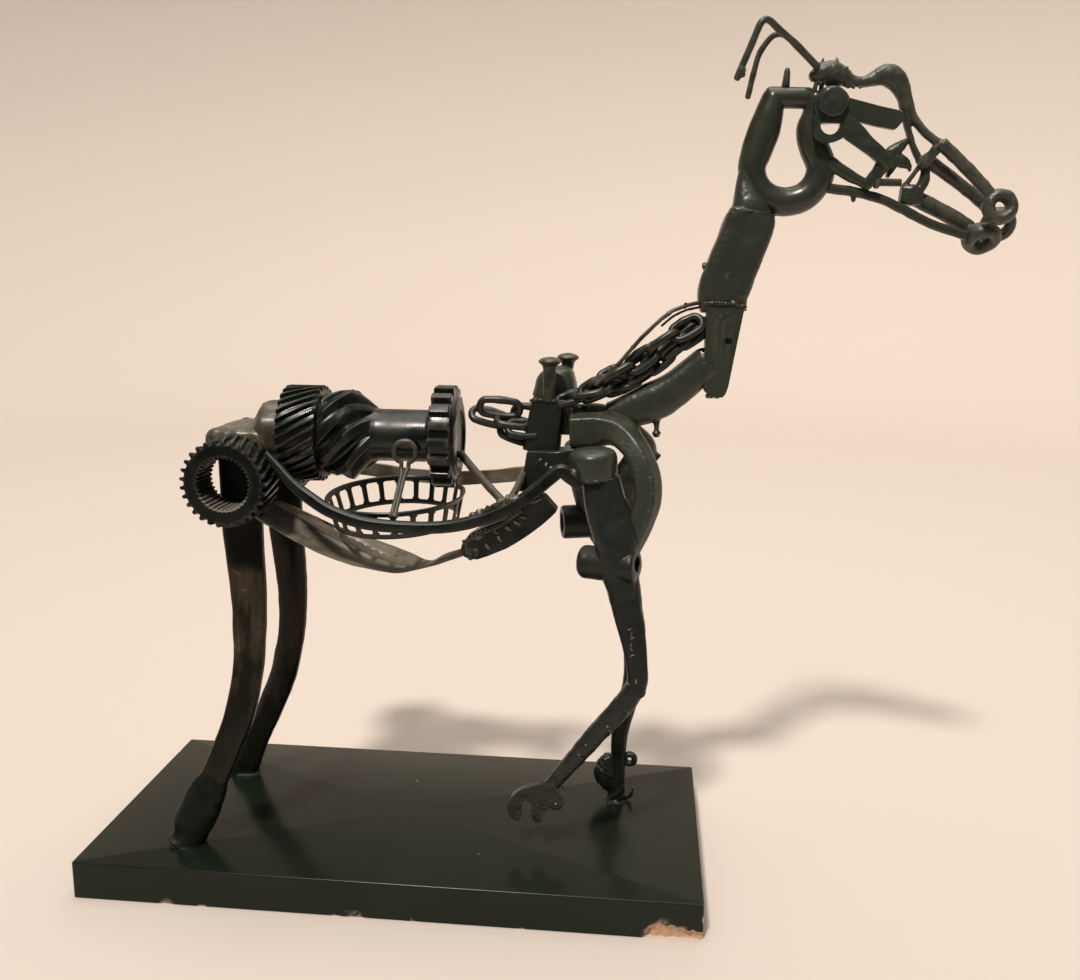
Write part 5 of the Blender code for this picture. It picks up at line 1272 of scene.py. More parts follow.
def make_forelegs():
    """Both forelegs with their bosses and caps, the spanner as lifted hoof, the far hoof."""
    near = sweep(((129.6, -39, 273.6, 11.8, 11), (132.8, -40.5, 258.4, 12.8, 11),
                  (136.8, -42, 245, 12.8, 10.4), (139.6, -43, 231, 11.8, 9.4),
                  (144.2, -44, 212, 10.8, 8.2), (150.8, -43, 180, 8.4, 6.6),
                  (154.2, -41.5, 161, 6.9, 6.2), (155.6, -40, 148, 6.6, 6),
                  (154.4, -38.8, 138.5, 6.8, 6)), 110, 40, 3.2, caps=(0.6, 3))
    strip = sweep(((152, -45.6, 208, 1.5, 5), (155.6, -45.4, 194, 1.4, 4.6),
                   (158.2, -44.6, 180, 1.3, 4.2), (160.4, -43.4, 161, 1.1, 3.6),
                   (161.2, -41.6, 148, 0.9, 3)), 40, 14, 3, caps=(1, 1))
    tilt = (0.951, -0.309, 0.03)
    boss = turned(((-19, 0.5), (-19, 8.6), (-17, 10.4), (15.8, 10.9), (17.6, 10), (17.8, 0.5)),
                  (136.4, -44, 222), tilt, 64, 1.2)
    web = sweep(((137.6, -41, 262, 8, 6), (138.4, -42.6, 250, 11.4, 9.4), (140.2, -44, 239, 12.6, 10.9),
                 (141, -44, 229, 12.4, 11.6), (142.2, -44, 218, 11.4, 11.4),
                 (144.4, -44, 208, 9.8, 9.6), (146.4, -43.6, 200, 8.6, 7.8)), 40, 36, 3)
    marks = []
    for i, (x, z) in enumerate(((149.7, 182.4), (151.2, 180.6), (150.6, 178.2), (151.6, 176.4),
                                (150.8, 171.8), (151, 169), (151.7, 164.9), (154.6, 147.5),
                                (149.4, 146.2))):
        lean = np.array(((0.9, 0, 0.5), (0.15, 0, 1), (0.7, 0, -0.7))[i % 3])
        spot = np.array((x, -49.4 + 0.07 * (183 - z), z))
        marks.append(wire((spot - lean, spot + lean), 0.55, 4, 6))
    hole = turned(((8, 0.1), (8, 5), (17, 5), (18.4, 6), (24, 6), (24, 0.1)),
                  (136.8, -44, 223.4), tilt, 36, 0.2)
    place("foreleg_near_marks", marks, "strip_steel")
    place("foreleg_near_fine", [near, strip, boss, web], "leg_gloss", fuse=0.5,
          ease=2, lumps=((14, 0.12, 131), (2.4, 0.025, 132)), bores=(hole,))
    cap = ((0, 0.5), (0, 13.9), (0.8, 14.4), (2.6, 14.6), (3.6, 14.8), (13.4, 15),
           (16, 14), (17.8, 11.2), (18.6, 5), (18.7, 0.5))
    place("shoulder_cap_near_fine", [turned(cap, (125.3, -38.6, 274.2), (-0.08, -0.04, 1), 64, 1.4)],
          "cast_gloss", lumps=((10, 0.14, 133),))
    far = sweep(((117, 26, 271, 13, 11.5), (121.5, 28, 250, 12.6, 11), (129, 30, 228, 11.6, 9.5),
                 (142, 31, 200, 9, 7.6), (150.8, 31, 160, 7.4, 6.4), (152.8, 31, 133, 7, 6.2),
                 (152.2, 31.4, 116, 6.8, 6), (148.6, 31.8, 97, 6.6, 5.8), (145.2, 32.4, 82, 6.2, 5.6),
                 (144, 33.2, 66, 5.6, 5.4), (144, 33.8, 50, 5, 5), (144.2, 34, 38, 4.6, 4.8)), 110, 32,
                2.6)
    slant = (0.972, 0.234, 0.03)
    boss = turned(((-21.4, 8.6), (-21.4, 10.4), (-20.2, 11.2), (16, 11.4), (18, 10.2), (18.2, 0.5)),
                  (122.2, 29, 231.8), slant, 56, 0.5)
    place("foreleg_far_fine", [far, boss], "leg_gloss",
          cuts=(turned(((-26, 0.4), (-26, 7.6), (-21.4, 7.6), (-20.4, 6.4), (-6, 6),
                        (-6, 0.4)), (122.2, 29, 231.8), slant, 36, 0.2),),
          lumps=((14, 0.1, 135),))
    cap = tuple((d * 0.9, r * 0.92) for d, r in cap)
    place("shoulder_cap_far_fine", [turned(cap, (116.6, 26, 271.8), (-0.08, -0.04, 1), 56, 1.4)],
          "cast_gloss", lumps=((10, 0.12, 137),))
    make_spanner()
    lump = sweep(((139.8, 33, 58, 3.2, 3.2), (136.8, 33, 55.2, 5.6, 5.2), (134.8, 33, 49.6, 7.6, 6.6),
                  (134.8, 33, 44, 7.8, 6.8), (137.2, 33.5, 38.4, 6.4, 6), (141.4, 34, 34, 4.4, 4.6)),
                 40, 28, 2.2, caps=(2.2, 2))
    heel = sweep(((144.2, 34, 37.8, 4.6, 4.8), (143.8, 34, 31, 5.4, 5.4), (143, 34, 25, 7.4, 7)),
                 16, 24, caps=(0.2, 0.2))
    curl = sweep(((145, 34, 26.4, 2.2, 2.2), (149.6, 34, 26.2, 1.7, 1.7), (153.6, 34, 29.2, 1.3, 1.3),
                  (155.2, 34, 34, 0.9, 0.9)), 20, 12, caps=(1, 0.8))
    puddle = blob((142, 34, 24.9), (9.2, 8.2, 1.1), 141, 0.07, 30)
    place("fore_hoof_far_fine", [lump, heel, curl, puddle], "leg_gloss",
          fuse=0.5, ease=3, lumps=((4, 0.22, 142), (2, 0.06, 143)), floor=BOARD_TOP - 0.2)
    place("fore_leg_far_ring", [ring((152, 33.4, 56.8), (0.1, 1, 0), 3.5, 2.2, 1.2)], "leg_gloss",
          lumps=((3, 0.05, 144),))


def make_spanner():
    """Open-jaw spanner: its shank is the lifted shin, and its ringed jaw the hoof."""
    shank = sweep(((153.6, -38.9, 139.3, 6.7, 6.2), (149.4, -39.4, 131.6, 6.9, 6.2),
                   (142.4, -40, 122.5, 6.8, 5.9), (130.7, -41, 108.6, 6.4, 5.4),
                   (118.6, -41.6, 93.2, 5.8, 5), (107.6, -42, 79, 5.3, 4.5),
                   (101.6, -42.4, 71.4, 4.8, 4), (98, -42.4, 66.6, 4.6, 3.6)), 70, 28, 2.4)
    outline = soften(((104.4, 73.6), (97.7, 74.4), (88.9, 71.4), (81.3, 67.9), (76.3, 63.3), (74, 57.7),
                      (75.1, 51.5), (78.7, 47), (82.3, 47.4), (83.4, 51.4), (81.9, 55.2), (83, 59.6),
                      (85.9, 61.9), (89, 60.7), (90.6, 56.9), (89.7, 51.8), (90.7, 47), (93.8, 46.1),
                      (97.2, 49.1), (98.8, 54.5), (101.4, 57.2), (105.4, 62.2), (108, 68.2)), 1.6)
    jaw = plate(outline, -46.2, -38.6)
    eye = turned(((-4, 0.5), (-4, 4.6), (-3, 5.5), (3, 5.5), (4, 4.6), (4, 0.5)),
                 (105.4, -42.4, 61.7), (0, 1, 0), 28, 0.8)
    hole = turned(((-8, 0.1), (-8, 1.7), (8, 1.7), (8, 0.1)), (105.8, -42.5, 60), (0, 1, 0), 20, 0)
    draw = np.random.default_rng(151)
    knots = []
    for i, (x, z) in enumerate(((149, 126), (139.6, 112.6), (131, 104.6), (121.6, 96.4),
                                (115, 84.2), (105.4, 78.6), (110, 72.8), (96.6, 71))):
        knots.append(blob((x, -46.2 + 0.3 * (i % 3), z), draw.uniform(0.9, 1.7, 3), 152 + i, 0.2))
    dots = [blob((x, y, z), (0.9, 0.6, 0.8), 170 + i, 0.1, 8) for i, (x, y, z) in enumerate((
        (137.6, -46.6, 116.2), (124.4, -46.2, 102.8), (120, -46.6, 96), (113, -46, 84.6),
        (105.6, -46.9, 61.2)))]
    place("spanner_dots", dots, "strip_steel")
    place("spanner_hoof_fine", [shank, jaw, eye, *knots], "shin_gloss",
          fuse=0.5, ease=2, lumps=((9, 0.16, 181), (2.6, 0.05, 182)), bores=(hole,))


def link_body(sizes, centre, along, roll, stretch=1.0):
    """Oval link of round wire: half circles joined by slightly bowed sides, `along` its long
    way and `roll` its turn about that, in degrees; a swelling marks the welded joint."""
    forward = unit(along)
    level = unit(np.cross(forward, (0, 0, 1)))
    upright = np.cross(level, forward)
    turn = math.radians(roll)
    face = level * math.cos(turn) + upright * math.sin(turn)
    side = np.cross(face, forward)
    bend = sizes.link_wide / 2 - sizes.link_wire
    reach = sizes.link_long * stretch / 2 - sizes.link_wire - bend
    a = 2 * np.pi * np.arange(44) / 44 + 0.05
    path = (np.asarray(centre, float) + forward * (np.clip(2 * np.cos(a), -1, 1) * reach
                                                   + bend * np.cos(a))[:, None]
            + side * (bend * np.sin(a))[:, None])
    size = sizes.link_wire * (1 + JOINT_SWELL * np.exp(-((a - np.pi / 2) / JOINT_WIDE) ** 2))
    rows = np.hstack([path, size[:, None], size[:, None]])
    return sweep(rows, sides=14, up=face, loop=True)


def strand(route, count, rolls):
    """Places for a run of links along a route: (centre, direction, roll) at equal steps."""
    dense = spline(route, 200)
    far = np.concatenate([[0], np.cumsum(np.linalg.norm(np.diff(dense, axis=0), axis=1))])
    places = []
    for i in range(count):
        s = far[-1] * (i + 0.5) / count
        spot, ahead = (np.array([np.interp(v, far, dense[:, k]) for k in range(3)])
                       for v in (s, s + 1.0))
        places.append((spot, ahead - spot, rolls[i % len(rolls)]))
    return places


def make_chain(sizes):
    """Chain: a knot of links between the end gear and the withers, and four runs up the neck."""
    places = [((56.4, -11, 306.4), (1, 0.1, -0.25), 46, 1.12),
              ((64.2, -17, 313.2), (1, 0.06, -0.08), -10, 1.24),
              ((75, -16, 297.4), (1, 0.1, -0.34), 30, 1.1)]
    upper = strand(((116.6, -20, 323.4), (128.4, -20.5, 329.4), (141.4, -20, 337.6),
                    (156, -19.5, 348.4), (170.8, -19, 360), (185.6, -17.6, 369)), 5, (28, -58))
    places += [(*row, 1) for row in upper]
    for i, (centre, along, roll, stretch) in enumerate(places):
        name = "chain_link_%d" % (i + 1)
        place(name + FINE, [link_body(sizes, centre, along, roll, stretch)], "enamel")
    loose = [((72.4, -19, 304.6), (1, 0.05, -0.14), 72), ((82, -12, 309), (1, 0.1, -0.12), 28),
             ((79.4, -21, 300.8), (1, 0.15, -0.1), 38), ((109.4, -19.4, 321), (1, 0, 0.34), 64),
             ((119.4, -21.4, 324.4), (1, -0.1, 0.2), 82)]
    loose += strand(((124, -16, 327.4), (134, -15.6, 330), (150, -14.6, 335), (161.7, -14.4, 344),
                     (173.3, -14.2, 354), (186, -13, 364.6)), 6, (-52, 34))
    loose += strand(((128, -10, 331.4), (146, -9, 339.6), (163, -8, 351.6), (178, -8, 364)), 4,
                    (40, -50))
    loose += strand(((119, -15.4, 321), (133, -15, 327.4), (148, -14, 334.6), (163, -13.4, 345.6),
                     (178, -13, 357.6), (189, -11, 366)), 6, (70, -16))
    for i, (centre, along, roll) in enumerate(loose):
        place("chain_loose_%d" % (i + 1), [link_body(sizes, centre, along, roll)], "enamel")


def make_neck():
    """Bent tube, drilled plate, square upper bar, and the mane, a wire with a thinner second."""
    tube = sweep(((133, -10, 309, 8.6, 9.4), (141, -10, 311.4, 9.6, 9.8), (149, -10, 314.2, 11.2, 10.6),
                  (157, -10, 317.4, 12.2, 11.2), (165, -10, 321.4, 12, 11.2),
                  (173, -10, 326.8, 11.2, 11), (181, -10, 333.6, 10.6, 10.8),
                  (192.5, -10, 344, 10.2, 10.8)), 70, 44, 3, caps=(0.4, 0.4))
    nub = sweep(((162.2, -14, 309, 3, 2.8), (162.3, -15.4, 304.6, 1.9, 1.8),
                 (162.4, -16, 301.6, 1.7, 1.7), (162.5, -16, 299.8, 2.9, 2.8),
                 (162.5, -16, 298.4, 2.2, 2.2)), 20, 16, up=(0, 1, 0), caps=(0.5, 1.4))
    place("neck_tube_fine", [tube, nub], "cast_gloss", fuse=0.5, ease=2,
          lumps=((14, 0.12, 201), (2.4, 0.03, 202)))
    outline = soften(((189.9, 378.4), (212.6, 378), (204.8, 329.4), (203.2, 324.2),
                      (199.4, 322.6), (193.4, 324.6), (189.9, 327)), 1.6)
    drips = [blob((193.6 + 2.4 * i, -12.5, 323.2 + 0.5 * (i % 2)), (1.7, 2.6, 1.6), 203 + i, 0.2)
             for i in range(4)]
    hole = turned(((-8.5, 0.1), (-8.5, 2.3), (-4, 2.3), (-4, 0.1)), (203.6, -12, 357.6), (0, 1, 0),
                  24, 0)
    ridge = sweep(((198.6, -19, 372, 1.2, 0.5), (198.2, -19, 360, 1, 0.6), (197.6, -19, 346, 0.8, 0.4)),
                  20, 10)
    place("neck_plate_fine", [plate(outline, -19, -5), ridge], "cast_gloss",
          cuts=[hole], edge=0.5, lumps=((12, 0.08, 206),))
    place("neck_plate_drips", drips, "cast_gloss")
    y = -8
    upper = sweep(((200.4, y, 376, 14, 9), (199.6, y, 386, 15.2, 10.5), (203, y, 396.5, 15.2, 10.5),
                   (207, y, 408, 15.2, 10.5), (211, y, 419, 15, 10.5), (213.8, y, 428, 14.8, 10.5),
                   (214.8, y, 433, 13.4, 10.4)), 60, 48, 5, caps=(0.8, 1.2))
    joint = sweep(((214.6, y, 431, 12, 9.6), (213.2, y, 436, 11, 9.4), (211.9, y + 1, 442, 8.4, 8.6),
                   (211.2, y + 2, 449, 6.6, 7.4), (211.2, y + 2.4, 457, 5.2, 6.4)), 24, 32, 2.6,
                  caps=(0.5, 2))
    knots = [blob((186, -8, 387.5), (1.8, 3, 2.2), 207, 0.2), blob((187.8, -9, 402),
             (1.3, 2.4, 2.4), 208, 0.2), blob((212.9, -9, 376.4), (2, 2.8, 1.6), 209, 0.2),
             blob((206, -18.4, 379.4), (1.6, 0.9, 1.4), 213, 0.2),
             blob((201.4, -18.4, 396.2), (1.2, 0.8, 1.8), 214, 0.2)]
    place("neck_bar_fine", [upper, joint, *knots], "cast_gloss", fuse=0.55, ease=2,
          lumps=((16, 0.14, 210), (3, 0.03, 211)))
    mane = wire(((124.6, -22.4, 329.4), (133.4, -22, 338.2), (139.2, -21.6, 344.3), (153.6, -21, 360.9),
                 (166.5, -20, 372.9), (173.7, -18.5, 376.8), (181, -16, 379.1), (188.5, -12, 380.2)),
                1.25, 60, 12)
    second = wire(((163.4, -17.6, 366), (170.4, -17, 371.8), (178.4, -15.6, 375.6), (188, -12, 377.6)),
                  0.8, 30, 10)
    bumps = [blob(spot, (1.5, 1.5, 1.5), 215 + i, 0.2, 10) for i, spot in enumerate((
        (134.6, -22, 340.2), (146, -21.4, 352.6), (167.2, -20, 373.6), (177, -17.4, 378)))]
    place("neck_wire_fine", [mane, second, *bumps], "dark_rod", lumps=((4, 0.06, 212),))


def make_shackle():
    """Bow of the shackle, forged round bar bent to a bulb, and the pin across its ends."""
    y, r = -5, 8.2
    bow = sweep(((224.4, y, 499, 7, 7), (222, y, 489.5, 8.4, 8.1), (219.6, y, 480.4, 9.6, r),
                 (216.4, y, 470, 9.2, r), (213.8, y, 459.6, r, r), (216.2, y, 449.8, r, r),
                 (223.4, y, 442.8, r, r), (234.2, y, 440, 8.5, r), (245, y, 443, 8.5, r),
                 (252.2, y, 451, 8.5, r), (254, y, 460.8, 8.6, r), (249.2, y, 471.6, 8.6, r),
                 (245.8, y, 480.6, 7.4, 7.8), (247.4, y, 490, 5.8, 7.6), (248.4, y, 498.2, 6, 7.6)),
                150, 40, caps=(4.6, 4.6))
    place("shackle_bow_fine", [bow], "forged_gloss", lumps=((18, 0.12, 221), (3, 0.02, 222)))
    pin = turned(((-2.5, 0.5), (-2.5, 4.8), (0, 6.1), (23.5, 6.1), (25, 4.8), (25, 0.5)),
                 (222, y, 499.4), (1, 0, -0.02), 44, 1.2)
    place("shackle_pin_fine", [pin], "forged_gloss", lumps=((9, 0.08, 223),))


def make_face():
    """Levers, rods, screw and rings that draw the head, each welded to the next."""
    eye = plate(arc(256.3, 493.8, 10, 0, 352, 46), -19.6, -13.6)
    web = plate(soften(((246.6, 489), (247.2, 475.5), (252, 472), (258.6, 472.6), (264.4, 475.4),
                        (271, 482), (266, 490)), 2.4), -19.4, -13.6)
    arm = sweep(((261.6, -16.5, 485, 6.4, 2.9), (268.7, -16.5, 479.4, 5.9, 2.9),
                 (278.6, -16.3, 471.4, 4.7, 2.9), (287.6, -15.5, 464.6, 3.9, 3.1),
                 (290.6, -14.5, 462, 3.6, 3.1)), 40, 28, 5, caps=(0.5, 1.2))
    fork = sweep(((291, -13.4, 464.4, 3, 3), (288.8, -13, 460.8, 4.2, 3.4),
                  (285.2, -12.6, 455.7, 3.7, 3.2), (280.2, -12, 449.4, 3.1, 3)), 24, 22, 3,
                 caps=(1.5, 1))
    moon = plate(soften(np.vstack([arc(256, 482.6, 5.6, 180, 360, 16),
                                   [(261.6, 483.2), (250.4, 483.2)]]), 0.3), -24, -8)
    place("cheek_lever_fine", [eye, web, arm, fork], "forged_gloss", bores=(moon,),
          fuse=0.45, ease=1, lumps=((9, 0.12, 231),))
    bolt = turned(((-0.6, 0.5), (-0.6, 7.6), (0.4, 8.4), (2.6, 8.4), (3.6, 7.8), (4.1, 6.6), (4.3, 3.4),
                   (4.5, 2.6), (4.6, 0.5)), (256.3, -20.2, 494.6), (0.03, -1, 0.02), 52, 1)
    place("pivot_bolt_fine", [bolt], "forged_gloss", lumps=((6, 0.12, 233),))
    outline = soften(((261, 500.6), (266, 498.4), (283.6, 493.6), (295.4, 491.4), (298.6, 489.4),
                      (298.6, 485.6), (294.3, 480.4), (283, 482.4), (271, 485.2), (261, 486.6)), 1.6)
    place("jaw_plate_fine", [plate(outline, -13.2, -8.4)], "cast_gloss", edge=0.6,
          lumps=((10, 0.08, 234),))
    root = sweep(((246.6, -8, 511, 3.6, 4.4), (250, -8, 512, 5.6, 6.4), (256, -7, 512.4, 7, 7),
                  (262, -6.5, 510.8, 6, 6.4), (267, -6, 508.8, 4, 5), (271.4, -6, 507.8, 3.1, 4.2),
                  (276.6, -6, 507.9, 3, 4.2), (281.2, -6, 509.6, 4.3, 4.6), (286.6, -6, 511.2, 6, 5.2),
                  (291.2, -6, 510.4, 6.6, 5.4), (295.6, -6, 506.2, 5.8, 5.2),
                  (298.8, -6, 500.2, 4.5, 4.6), (301, -6, 493.4, 4, 4.2)), 90, 28, 2.4, caps=(3, 1))
    right = sweep(((301.4, -6.2, 495.6, 3.4, 4), (305, -6.6, 487.6, 2.7, 3.8),
                   (311.9, -8, 479.6, 2.5, 3.6), (320.8, -9, 472.8, 2.8, 3.6)), 40, 20, caps=(1, 1.6))
    left = sweep(((300.8, -6, 494.8, 3, 3.8), (302, -5.6, 484.6, 2.1, 3.6),
                  (305.8, -5, 473.6, 1.9, 3.4), (311, -4.4, 463.6, 2.2, 3.4)), 40, 20, caps=(1, 1.4))
    web = sweep(((321.6, -9.4, 473, 3.4, 3.8), (317.6, -8.6, 468.2, 3, 3.6),
                 (313, -6.6, 462.4, 3.8, 3.8)), 24, 20, caps=(2.4, 2.4))
    knots = [blob(spot, size, 240 + i, 0.22) for i, (spot, size) in enumerate((
        ((247.7, -11, 515.3), (2.4, 2.4, 2.2)), ((254.3, -10, 517), (2.4, 2.8, 1.8)),
        ((259, -9, 518.6), (1.1, 1.3, 2.4)), ((251, -9, 519), (1.2, 1.4, 1.8)),
        ((263.1, -10, 514.4), (2.2, 2.2, 1.8)), ((256.6, -7, 505.8), (3.4, 3.4, 3.8)),
        ((265.6, -9, 505.4), (2.2, 1.8, 1.4)), ((269.1, -9, 504.6), (1.2, 1.4, 1)),
        ((273.1, -9, 504.4), (1, 1.2, 0.9)), ((249.6, -10, 507.4), (2, 2.4, 2.6))))]
    place("brow_lever_fine", [root, right, left, web, *knots], "rusty_rod",
          fuse=0.45, ease=2, lumps=((7, 0.12, 251), (2.4, 0.04, 252)))
    make_snout()
    jaw = sweep(((253.5, -6, 449, 3, 2.6), (263, -6.2, 447.4, 3, 2.6), (273.8, -6.4, 446, 2.9, 2.6),
                 (289.5, -7, 442, 2.8, 2.6), (303.2, -7, 435.9, 2.8, 2.6), (319.4, -7, 428, 2.7, 2.6),
                 (340.5, -7, 421, 2.6, 2.4)), 60, 20, 3, caps=(1, 1))
    drip = blob((274, -6.4, 442.2), (1.4, 1.4, 2.2), 261, 0.15)
    place("lower_jaw_bar_fine", [jaw, drip], "cast_gloss", fuse=0.45, ease=2, lumps=((8, 0.08, 262),))
    rod = sweep(((255.6, -9, 464.2, 4.4, 4), (263, -9, 459.4, 3.9, 3.6),
                 (272, -9, 454.2, 3.3, 3), (282.6, -9, 449, 3, 2.8)), 30, 16)
    place("cheek_rod_fine", [rod], "cast_gloss", lumps=((7, 0.08, 263),))
    link = [sweep(((289.6, -5, 463, 4, 3.6), (294.4, -5, 467.8, 4.2, 3.6), (299.2, -5, 472, 3.3, 3.2),
                   (303.4, -4.6, 476, 1.3, 2.2)), 30, 20, 2.6, caps=(1.2, 0.8)),
            sweep(((293, -5, 466.4, 3.6, 3.4), (299.6, -5, 463.8, 4, 3.4), (304.5, -4.6, 461, 2.3, 2.8),
                   (306, -4.4, 458.4, 0.9, 1.8)), 24, 18, 2.6, caps=(1.2, 0.6)),
            sweep(((297, -5, 463.6, 3, 3.2), (294.8, -5, 458.8, 2.2, 3), (293.2, -5, 454.8, 1.2, 2.6)),
                  16, 16, caps=(1, 0.6))]
    place("bit_link_fine", link, "cast_gloss", fuse=0.4, ease=2, lumps=((4, 0.1, 264),))
    clip = [sweep(((302.8, -3, 444.8, 5.4, 4.6), (308.1, -3, 444.4, 6.2, 5.4),
                   (313.2, -3, 444.2, 5.4, 4.6)), 12, 28, 4, caps=(1.2, 1.2)),
            sweep(((310.6, -3, 446, 3.4, 4.4), (314.4, -3, 451.4, 3.3, 4.4),
                   (315.2, -3, 457.2, 2.7, 4.2), (313.8, -3, 462.4, 2, 3.8)), 24, 16, caps=(1, 1)),
            sweep(((303.6, -3, 449.4, 1.7, 3.4), (308, -3, 455.6, 1.3, 3.2),
                   (311.8, -3, 461.4, 1.5, 3.2)), 16, 14, caps=(1, 1))]
    place("bit_clip_fine", clip, "cast_gloss", fuse=0.35, ease=2, lumps=((4, 0.08, 265),))
    d = np.linspace(3.2, 15.6, 76)
    thread = [(0, 0.3), (0, 3.2), (0.5, 3.6), (2.2, 3.6), (2.7, 3.2), (2.8, 2)] + [
        (a, 2.05 + 0.32 * math.cos(2 * math.pi * a / 1.1)) for a in d] + [(16, 0.3)]
    place("bit_screw_fine", [turned(thread, (284.4, -12, 451), (1, 0.1, 0), 24, 0)],
          "rusty_rod", crisp=60)


def make_snout():
    """Three rods of the muzzle, each of which ends in a thick forged ring."""
    rows = (("snout_rod_near", (321, -13, 472.4), (348.6, -14.6, 446),
             (356, -15, 437.4), (3.9, 3.5), 6.6, 3.7, (-0.02, 1, -0.2), 1.4),
            ("snout_rod_far", (317.4, -1.4, 463.6), (350.4, 3.8, 441.4),
             (362, 5, 428.4), (4, 3.5), 7, 3.4, (0.1, 1, 0.35), 1.15),
            ("chin_rod", (308, 2, 444.8), (341.2, 1, 428),
             (351, -2, 420), (4.9, 4.6), 7.3, 4.2, (-0.1, 1, 1.2), 1.25))
    for i, (name, start, stop, centre, rod_r, ring_r, wire_r, axis, flat) in enumerate(rows):
        a, b, c = (np.array(v, float) for v in (start, stop, centre))
        end = c + unit(b - c) * ring_r
        middle = (a + b) / 2 + (0.4, 0, 0.4)
        shank = sweep(((*a, rod_r[0], rod_r[0]), (*middle, *[sum(rod_r) / 2] * 2),
                       (*b, rod_r[1], rod_r[1]), (*end, rod_r[1] * 0.8, rod_r[1] * 0.8)), 40, 22,
                      caps=(1.4, 0.4))
        loop = ring(c, axis, ring_r, wire_r, flat, 22, 56)
        place(name + FINE, [shank, loop], "rusty_rod", fuse=0.45, ease=2,
              lumps=((9, 0.1, 271 + i), (2.4, 0.03, 275 + i)))


def make_ears():
    """Two bent wires for ears, a lump near one tip, the stud on the poll and the strips below."""
    near = wire(((247.4, -13, 515), (234.8, -20, 525.1), (223.3, -27, 532.4), (217.6, -30, 536.4),
                 (214.2, -31.5, 536.6), (211.4, -32, 532.8), (206.2, -31, 519.8), (200.8, -30, 506.3)),
                2, 70, 16)
    nick = blob((203.4, -31, 510.2), (2.2, 2.2, 3), 281, 0.2)
    place("ear_near_fine", [near, nick], "rusty_rod", lumps=((7, 0.06, 282),))
    far = wire(((249.6, -1.6, 516), (238.6, 7, 529), (231.5, 11, 536.6), (227, 13.5, 538.2),
                (222.5, 15, 536), (216.8, 17, 527.6), (213.6, 16.6, 515), (211.2, 16, 503)), 1.8, 70,
               16)
    place("ear_far_fine", [far], "rusty_rod", lumps=((7, 0.06, 283),))
    stud = turned(((0, 0.3), (0, 2.5), (4, 2.2), (9, 1.7), (10.6, 1.2), (11, 0.3)),
                  (231, -5, 505.2), (0.06, 0, 1), 24, 0.5)
    place("poll_stud_fine", [stud], "rusty_rod", lumps=((4, 0.06, 284),))
    strips = [sweep(((248.6, -9, 509.6, 1.3, 2), (247.4, -9.6, 504.4, 1.3, 2.2),
                     (246.6, -9.6, 500.4, 1.4, 2.2)), 16, 12, caps=(0.8, 0.8)),
              sweep(((251.6, -8, 508.6, 1.3, 2), (251, -8.6, 503.4, 1.3, 2),
                     (251.6, -9, 499.4, 1.3, 2)), 16, 12, caps=(0.8, 0.8))]
    place("poll_strips", strips, "cast_gloss", lumps=((4, 0.08, 285),))


def make_welds():
    """Weld beads along the joints, and a pale knob of weld."""
    seams = {
        "weld_neck_top": ((201, -17.2, 432.6), (209, -18.6, 433.4), (218, -18.6, 433.6),
                          (228.2, -17, 431.2)),
        "weld_neck_plate": ((188.8, -19, 379.6), (197.8, -19.4, 379.8), (206, -19.4, 379.2),
                            (213, -18.6, 378)),
        "weld_tube_front": ((189, -19, 348.6), (189.6, -20.6, 341.4), (189.6, -19.6, 333)),
        "weld_tube_top": ((187, -14, 351.4), (190, -8, 351.6), (190, -3, 350)),
        "weld_socket_near": ((84.4, -22.8, 318.9), (91, -23.6, 319.3), (98, -23.6, 318.9),
                             (104.6, -22.6, 318.9)),
        "weld_hub": ((-76.2, -18, 310.6), (-76.6, -24.6, 306.4), (-76.8, -28.6, 300)),
        "weld_cap": ((113.4, -49, 276), (120, -52.4, 274.4), (128.4, -52.8, 274.8)),
        "weld_bar_front": ((111.4, -51, 281), (113.8, -52.6, 278.8), (115.4, -52, 275.4)),
    }
    for i, (name, route) in enumerate(seams.items()):
        place(name, [bead(route, 1.2 if i else 0.4, 300 + i)], "enamel", lumps=((2.4, 0.08, 320 + i),))
    place("weld_pale_knob", [blob((113.4, -51.4, 279), (2.6, 2, 3.2), 330, 0.14)], "rusty_rod")


def run_group(make, *groups):
    """Calls a maker with the scene's settings and reports that it is done."""
    make(*[getattr(bpy.context.scene, group) for group in groups])
    return {"FINISHED"}


class HORSE_OT_stage(Operator):
    """Card, lights and camera"""
    bl_idname = "horse.stage"
    bl_label = "Stage"

    def execute(self, context):
        return run_group(make_stage, "horse_stage")


class HORSE_OT_board(Operator):
    """Painted board with its chips"""
    bl_idname = "horse.board"
    bl_label = "Board"

    def execute(self, context):
        return run_group(make_board)


class HORSE_OT_hips(Operator):
    """Hip gears and rump plate"""
    bl_idname = "horse.hips"
    bl_label = "Hips"

    def execute(self, context):
        return run_group(make_hips, "horse_sizes")


class HORSE_OT_hind_legs(Operator):
    """Hind legs and their hooves"""
    bl_idname = "horse.hind_legs"
    bl_label = "Hind legs"

    def execute(self, context):
        return run_group(make_hind_legs)


class HORSE_OT_spine(Operator):
    """Cluster gear of the back"""
    bl_idname = "horse.spine"
    bl_label = "Spine"

    def execute(self, context):
        return run_group(make_spine, "horse_sizes")


class HORSE_OT_cage(Operator):
    """Split pin and bearing cage"""
    bl_idname = "horse.cage"
    bl_label = "Pin and cage"

    def execute(self, context):
        return run_group(make_pin_and_cage, "horse_sizes")


class HORSE_OT_belly(Operator):
    """Bars, strips, struts and toothed piece of the belly"""
    bl_idname = "horse.belly"
    bl_label = "Belly"

    def execute(self, context):
        return run_group(make_belly)


